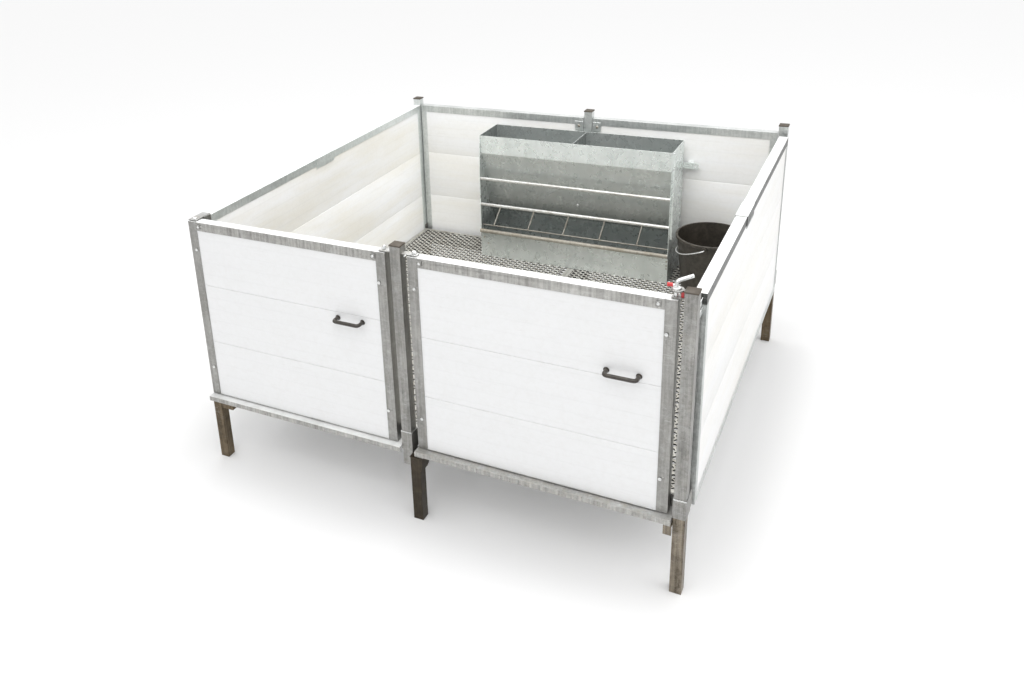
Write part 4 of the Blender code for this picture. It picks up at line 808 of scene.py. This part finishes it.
class PEN_OT_latches(bpy.types.Operator):
    """Drop pins, the bent latch rod and its red ends"""
    bl_idname = "pen.latches"
    bl_label = "Pins and latch"

    def execute(self, context):
        for node in ("left_gate_hinge_pin", "right_gate_hinge_pin", "left_gate_lock_pin"):
            turned_pin(node)
        low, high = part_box("latch_rod")
        x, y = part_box("right_gate_frame")[1].x - 0.0105, PIN_LINE
        ring = GATE_TOP + 0.0313
        bend = (x, y, GATE_TOP + 0.0555)
        end = (high.x - 0.0035, high.y - 0.0035, high.z - 0.0060)
        rod = carried(rounded([(x, y, low.z), bend, end], 0.013, 10), 0.006, (0.679, -0.734, 0),
                      context.scene.pen_fittings.sides)
        collar = lathe([(0.0, ring), (0.0131, ring), (0.0135, ring + 0.0006), (0.0135, ring + 0.0034),
                        (0.0128, ring + 0.0042), (0.0, ring + 0.0042)], (x, y, 0), 40)
        height = ring + 0.0115
        stub = carried([(x, y, height), (x - 0.022, y - 0.004, height)], 0.0035, (0, 0, 1), 16)
        piece("latch_rod_bent", joined(rod, collar, stub), "bright_zinc", "latch",
              ("latch_rod",))
        dressed("latch_red_grip", "red_plastic", 0.0004)
        dressed("latch_red_stop", "red_plastic", 0.0008)
        return {"FINISHED"}


# Sizes of the feeder's rods and marks: heights are measured down from the body's top, steps in from its ends
BAR_RADIUS, BAR_DROPS = 0.008, (0.232, 0.374)
ROD_COUNT, ROD_PITCH, FIRST_ROD = 5, 0.191, 0.0645
ROD_RADIUS, RAIL_RADIUS, RAIL_DROP = 0.0042, 0.0032, 0.4945
ROLL_RADIUS = 0.0104
SPOTS_FROM_RIGHT = ((0.0161, 0.548), (0.0161, 0.569), (0.0161, 0.586))
SPOTS_FROM_LEFT = ((0.0189, 0.556), (0.0409, 0.588))


def grille_rods():
    """Five rods that slope from the hopper's lower edge to a thin rail at the trough's inner lip, each with a
    little weld at its foot."""
    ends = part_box("feeder_grille")
    low, top = FEEDER_LOW, FEEDER_HIGH.z
    rail_y, rail_z = low.y + 0.0356, top - RAIL_DROP
    shells = [carried([(end.x, rail_y, rail_z) for end in ends], RAIL_RADIUS, (0, 0, 1), 12)]
    for i in range(ROD_COUNT):
        x = low.x + FIRST_ROD + ROD_PITCH * i
        path = [(x, rail_y + 0.001, rail_z + 0.003), (x, low.y + 0.1241, top - 0.428),
                (x, low.y + 0.1291, top - 0.378)]
        shells.append(carried(rounded(path, 0.012, 5), ROD_RADIUS, (1, 0, 0), 12))
        shells.append(lathe([(0, -0.0052), (0.0045, -0.003), (0.0056, 0), (0.0045, 0.003), (0, 0.0052)],
                            (x, rail_y + 0.001, rail_z + 0.001), 12))
    return joined(*shells)


def spot_welds():
    """Flat little domes on the trough's front sheet."""
    face, top = FEEDER_LOW.y + 0.0096, FEEDER_HIGH.z
    profile = [(0, face - 0.0012), (0.0026, face - 0.0010), (0.0042, face), (0.0042, face + 0.001),
               (0, face + 0.001)]
    places = [(FEEDER_HIGH.x - step, top - drop) for step, drop in SPOTS_FROM_RIGHT]
    places += [(FEEDER_LOW.x + step, top - drop) for step, drop in SPOTS_FROM_LEFT]
    return joined(*[lathe(profile, (x, 0, z), 16, "y") for x, z in places])


def hopper_bolt():
    """A bolt head that stands square to the sloping front of the hopper."""
    points, faces = lathe([(0, -0.0042), (0.004, -0.0038), (0.0062, -0.0018), (0.0068, 0), (0.0068, 0.002),
                           (0, 0.002)], (0, 0, 0), 24, "y")
    lean = Matrix.Rotation(math.atan2(0.101, 0.342), 3, "X")
    place = (FEEDER_LOW.x + 0.5039, FEEDER_LOW.y + 0.0998, FEEDER_HIGH.z - 0.346)
    return points @ np.array(lean).T + np.array(place), faces


class PEN_OT_feeder(bpy.types.Operator):
    """Feeder body with its dusty front roll, round bars, slanting rods, spot welds and the fixing bar"""
    bl_idname = "pen.feeder"
    bl_label = "Feeder"

    def execute(self, context):
        dressed("feeder_body", "feeder_zinc", 0.0008)
        dressed("feeder_fixing_bar", "feeder_zinc", 0.0005)
        sides = context.scene.pen_fittings.sides
        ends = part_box("feeder_grille")
        y = (ends[0].y + ends[1].y) / 2
        bars = [carried([(end.x, y, FEEDER_HIGH.z - drop) for end in ends], BAR_RADIUS, (0, 0, 1), sides)
                for drop in BAR_DROPS]
        piece("grille_bars", joined(*bars), "bar_zinc", "pen", ("feeder_grille",))
        piece("grille_rods", grille_rods(), "rod_zinc", "pen")
        front = FEEDER_LOW.y + 0.0065
        across = (FEEDER_LOW.x + 0.0006, FEEDER_RIGHT - 0.0006)
        roll = carried([(x, front, TROUGH_LIP) for x in across], ROLL_RADIUS, (0, 0, 1), sides)
        piece("trough_roll", roll, "dusty_zinc", "pen")
        piece("spot_welds", spot_welds(), "dusty_zinc", "pen")
        piece("hopper_bolt", hopper_bolt(), "bright_zinc", "pen")
        return {"FINISHED"}


def dome(x, y, z, radius, rise):
    """Rivet head: rise times the cosine of the turn, on a circle of the radius, its rim sunk in the sheet."""
    back = y + 0.0006
    profile = [(radius * math.sin(t), y - rise * math.cos(t)) for t in np.linspace(0.0, math.pi / 2, 6)]
    return lathe(profile + [(radius, back), (0.0, back)], (x, 0, z), 20, "y")


def weld(path, radius, phase):
    """Weld bead: a rod along a straight path whose k-th place steps aside by
    0.7 mm sin(2.1 k + phase) + 0.5 mm sin(0.7 k + 2 phase)."""
    start, end = np.array(path, float)
    count = max(6, int(np.linalg.norm(end - start) / 0.0030))
    line = start + (end - start) * np.linspace(0.0, 1.0, count)[:, None]
    k = np.arange(count)
    line[:, 2] += 0.0007 * np.sin(2.1 * k + phase) + 0.0005 * np.sin(0.7 * k + 2 * phase)
    return carried(line, radius, (0, 0.6, 0.8), 8)


# Rivets and bolts of each gate: steps in from the frame's left and right ends, and drops from its top
RIVET_STEPS = {"left": (0.0244, 0.0301), "right": (0.0224, 0.0293)}
BOLT_STEPS = {"left": (0.0499, 0.0486), "right": (0.0469, 0.0581)}
RIVET_DROPS = (0.119, 0.6465)
BOLT_DROP = 0.0185
WASHER_HALF = 0.0095


def gate_fixings(side):
    """Rivet heads of a gate's stiles, and the bolts of its rail with their square washers."""
    low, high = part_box(side + "_gate_frame")
    rivet_x, bolt_x = ((low.x + steps[side][0], high.x - steps[side][1])
                       for steps in (RIVET_STEPS, BOLT_STEPS))
    plate, z = low.y - 0.0014, high.z - BOLT_DROP
    heads = [dome(x, low.y, high.z - drop, 0.0062, 0.0024) for x in rivet_x for drop in RIVET_DROPS]
    heads += [dome(x, plate, z, 0.0052, 0.0028) for x in bolt_x]
    piece(side + "_gate_rivets", joined(*heads), "bright_zinc", side + "_gate")
    plates = [slab(x - WASHER_HALF, x + WASHER_HALF, plate, low.y + 0.0004, z - WASHER_HALF, z + WASHER_HALF)
              for x in bolt_x]
    piece(side + "_rail_washers", joined(*plates), "frame_zinc", side + "_gate", smooth=False,
          bevel=0.0004)


class PEN_OT_fixings(bpy.types.Operator):
    """Rivets of the gate frames, bolts of the rails and clamp plates, and the weld beads"""
    bl_idname = "pen.fixings"
    bl_label = "Rivets, bolts and welds"

    def execute(self, context):
        bead = context.scene.pen_fittings.bead
        for side in ("left", "right"):
            gate_fixings(side)
        low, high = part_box("back_left_wall_frame")
        right_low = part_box("back_right_wall_frame")[0]
        bolts = [dome(x, low.y, high.z - 0.0425, 0.0075, 0.0046)
                 for x in (high.x - 0.0225, right_low.x + 0.0225)]
        piece("clamp_bolts", joined(*bolts), "rod_zinc", "pen")
        low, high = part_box("floor_beam_front")
        y = low.y + 0.0006
        corner_sleeve = (high.x - 0.0435, high.x - 0.0008, 0.3777)
        centre_sleeve = (-0.0735, -0.0290, 0.3677)
        beads = [weld([(x0, y, top), (x1, y, top)], bead, x0)
                 for x0, x1, top in (corner_sleeve, centre_sleeve)]
        for node in ("front_centre_post", "front_right_post"):
            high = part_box(node)[1]
            x, z = high.x - 0.0405, GATE_TOP + 0.0030
            beads.append(weld([(x, high.y - 0.0404, z), (x, high.y - 0.0010, z)], bead, high.x))
        piece("weld_beads", joined(*beads), "bead_zinc", "pen")
        return {"FINISHED"}


class PEN_OT_bucket(bpy.types.Operator):
    """Black pail with a rolled rim, and its wire bail"""
    bl_idname = "pen.bucket"
    bl_label = "Bucket"

    def execute(self, context):
        low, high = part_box("bucket")
        x, y = (low.x + high.x) / 2, (low.y + high.y) / 2
        rim, foot, wall = 0.163, 0.128, 0.0028
        neck = rim - 0.007
        z0, top = low.z, high.z
        inner, base = neck - wall, z0 + 2 * wall
        profile = [(0.0, z0), (foot - 0.006, z0), (foot - 0.001, z0 + 0.0015), (foot, z0 + 0.005),
                   (foot + 0.25 * (neck - foot), z0 + 0.07), (neck - 0.006, top - 0.060),
                   (neck - 0.0052, top - 0.058), (neck - 0.0035, top - 0.056), (neck, top - 0.016),
                   (rim - 0.002, top - 0.0155), (rim - 0.0006, top - 0.0140), (rim, top - 0.010),
                   (rim, top - 0.005), (rim - 0.0012, top - 0.0015), (rim - 0.0040, top),
                   (inner + 0.002, top), (inner + 0.0004, top - 0.001), (inner, top - 0.004),
                   (foot - wall, base + 0.004), (foot - 0.008, base), (0.0, base)]
        pail = lathe(profile, (x, y, 0), 96)
        ears = []
        for side in (-1, 1):
            a, b = sorted((y + side * (neck - 0.002), y + side * (rim + 0.007)))
            ears.append(lathe([(0.0, a), (0.0125, a), (0.0125, b - 0.0008 if side > 0 else b), (0.0, b)],
                              (x, 0, top - 0.019), 24, "y"))
        piece("bucket_pail", joined(pail, *ears), "bucket_plastic", "bucket", ("bucket",))
        dressed("bucket_bail", "bright_zinc", 0.0)
        return {"FINISHED"}


# Stage

# The photo's camera, fitted to posts, gates and feet: the picture in pixels, the places in metres
PHOTO_WIDE, PHOTO_TALL = 1024, 683
FOCAL_PIXELS = 925.53
CENTRE_ACROSS, CENTRE_DOWN = 417.24, 210.575
SENSOR = 36.0
CAMERA_PLACE = (1.45119, -3.47511, 2.35031)
CAMERA_RIGHT = (0.882466, 0.46732, -0.05353)
CAMERA_DOWN = (0.120873, -0.335277, -0.934333)
CAMERA_AHEAD = (-0.45458, 0.818047, -0.352357)

# Square lamps: name, place, width, and share of the key light's power, all turned towards one point
LAMPS = (
    ("key_light", (1.0, -4.5, 6.5), 4.5, 1.0),
    ("side_light", (4.5, -0.5, 4.0), 3.5, 0.4),
    ("pen_light", (0.0, -0.1, 2.95), 1.5, 0.30),
)
LAMP_AIM = Vector((0, 0, 0.6))


class PEN_OT_stage(bpy.types.Operator):
    """Plain pale floor, soft light and the camera"""
    bl_idname = "pen.stage"
    bl_label = "Stage"

    def execute(self, context):
        settings = context.scene.pen_stage
        mesh = bpy.data.meshes.new("stage_floor")
        steps = np.linspace(-settings.floor, settings.floor, 9)
        gx, gy = np.meshgrid(steps, steps, indexing="ij")
        points = np.stack([gx, gy, np.full_like(gx, -0.0005)], -1).reshape(-1, 3)
        mesh.from_pydata(points.tolist(), [], grid_faces(9, 9)[:, ::-1].tolist())
        material, tree, shader, _ = start_material("stage_floor")
        tree.put(shader, Base_Color=tuple(settings.shade), Roughness=0.9)
        mesh.materials.append(material)
        placed("stage_floor", mesh)
        self.light(context, settings)
        self.camera(context)
        return {"FINISHED"}

    @staticmethod
    def light(context, settings):
        """A sky that brightens upwards, and the lamps."""
        world = bpy.data.worlds.new("pale_room")
        context.scene.world = world
        world.use_nodes = True
        world.node_tree.nodes.clear()
        tree = Tree(world.node_tree)
        height = tree.axes(tree.add("ShaderNodeTexCoord").outputs["Generated"])[2]
        level = tree.spread(height, 0.0, 0.85, 0.46, 1.75)
        sky = tree.add("ShaderNodeBackground", Color=(1, 1, 1), Strength=tree.times(level, settings.sky))
        tree.add("ShaderNodeOutputWorld", Surface=sky.outputs[0])
        for name, place, size, share in LAMPS:
            lamp = bpy.data.lights.new(name, "AREA")
            lamp.energy = settings.key * share
            lamp.size = size
            item = placed(name, lamp)
            item.location = place
            item.rotation_euler = (LAMP_AIM - Vector(place)).to_track_quat("-Z", "Y").to_euler()

    @staticmethod
    def camera(context):
        """The photo's camera: focal length and picture centre in pixels become lens and shift."""
        data = bpy.data.cameras.new("pen_camera")
        data.sensor_width = SENSOR
        data.lens = FOCAL_PIXELS * SENSOR / PHOTO_WIDE
        data.shift_x = (PHOTO_WIDE / 2 - CENTRE_ACROSS) / PHOTO_WIDE
        data.shift_y = (CENTRE_DOWN - PHOTO_TALL / 2) / PHOTO_WIDE
        data.clip_start = 0.05
        data.clip_end = 200.0
        camera = placed("pen_camera", data)
        turn = Matrix((Vector(CAMERA_RIGHT), -Vector(CAMERA_DOWN), -Vector(CAMERA_AHEAD))).transposed()
        camera.matrix_world = Matrix.Translation(CAMERA_PLACE) @ turn.to_4x4()
        context.scene.camera = camera
        context.scene.view_settings.view_transform = "Standard"


class PEN_PT_panel(bpy.types.Panel):
    """Lists the pieces of the pen in the sidebar"""
    bl_label = "Weaning pen"
    bl_idname = "PEN_PT_panel"
    bl_space_type = "VIEW_3D"
    bl_region_type = "UI"
    bl_category = "Weaning pen"

    def draw(self, context):
        scene = context.scene
        for group in SETTINGS:
            box = self.layout.box()
            for name in SETTINGS[group].__annotations__:
                box.prop(getattr(scene, group), name)
        for operator in OPERATORS:
            self.layout.operator(operator.bl_idname)


SETTINGS = {
    "pen_steel": SteelSettings,
    "pen_board": BoardSettings,
    "pen_mesh": MeshSettings,
    "pen_fittings": FittingSettings,
    "pen_stage": StageSettings,
}
OPERATORS = (PEN_OT_frames, PEN_OT_boards, PEN_OT_floor, PEN_OT_legs, PEN_OT_caps, PEN_OT_handles,
             PEN_OT_latches, PEN_OT_feeder, PEN_OT_fixings, PEN_OT_bucket, PEN_OT_stage)


def register():
    for kind in (*SETTINGS.values(), *OPERATORS, PEN_PT_panel):
        bpy.utils.register_class(kind)
    for name, kind in SETTINGS.items():
        setattr(bpy.types.Scene, name, PointerProperty(type=kind))


def unregister():
    for name in SETTINGS:
        delattr(bpy.types.Scene, name)
    for kind in (PEN_PT_panel, *reversed(OPERATORS), *reversed(tuple(SETTINGS.values()))):
        bpy.utils.unregister_class(kind)


def main():
    register()
    for operator in OPERATORS:
        group, name = operator.bl_idname.split(".")
        getattr(getattr(bpy.ops, group), name)()


if __name__ == "__main__":
    main()
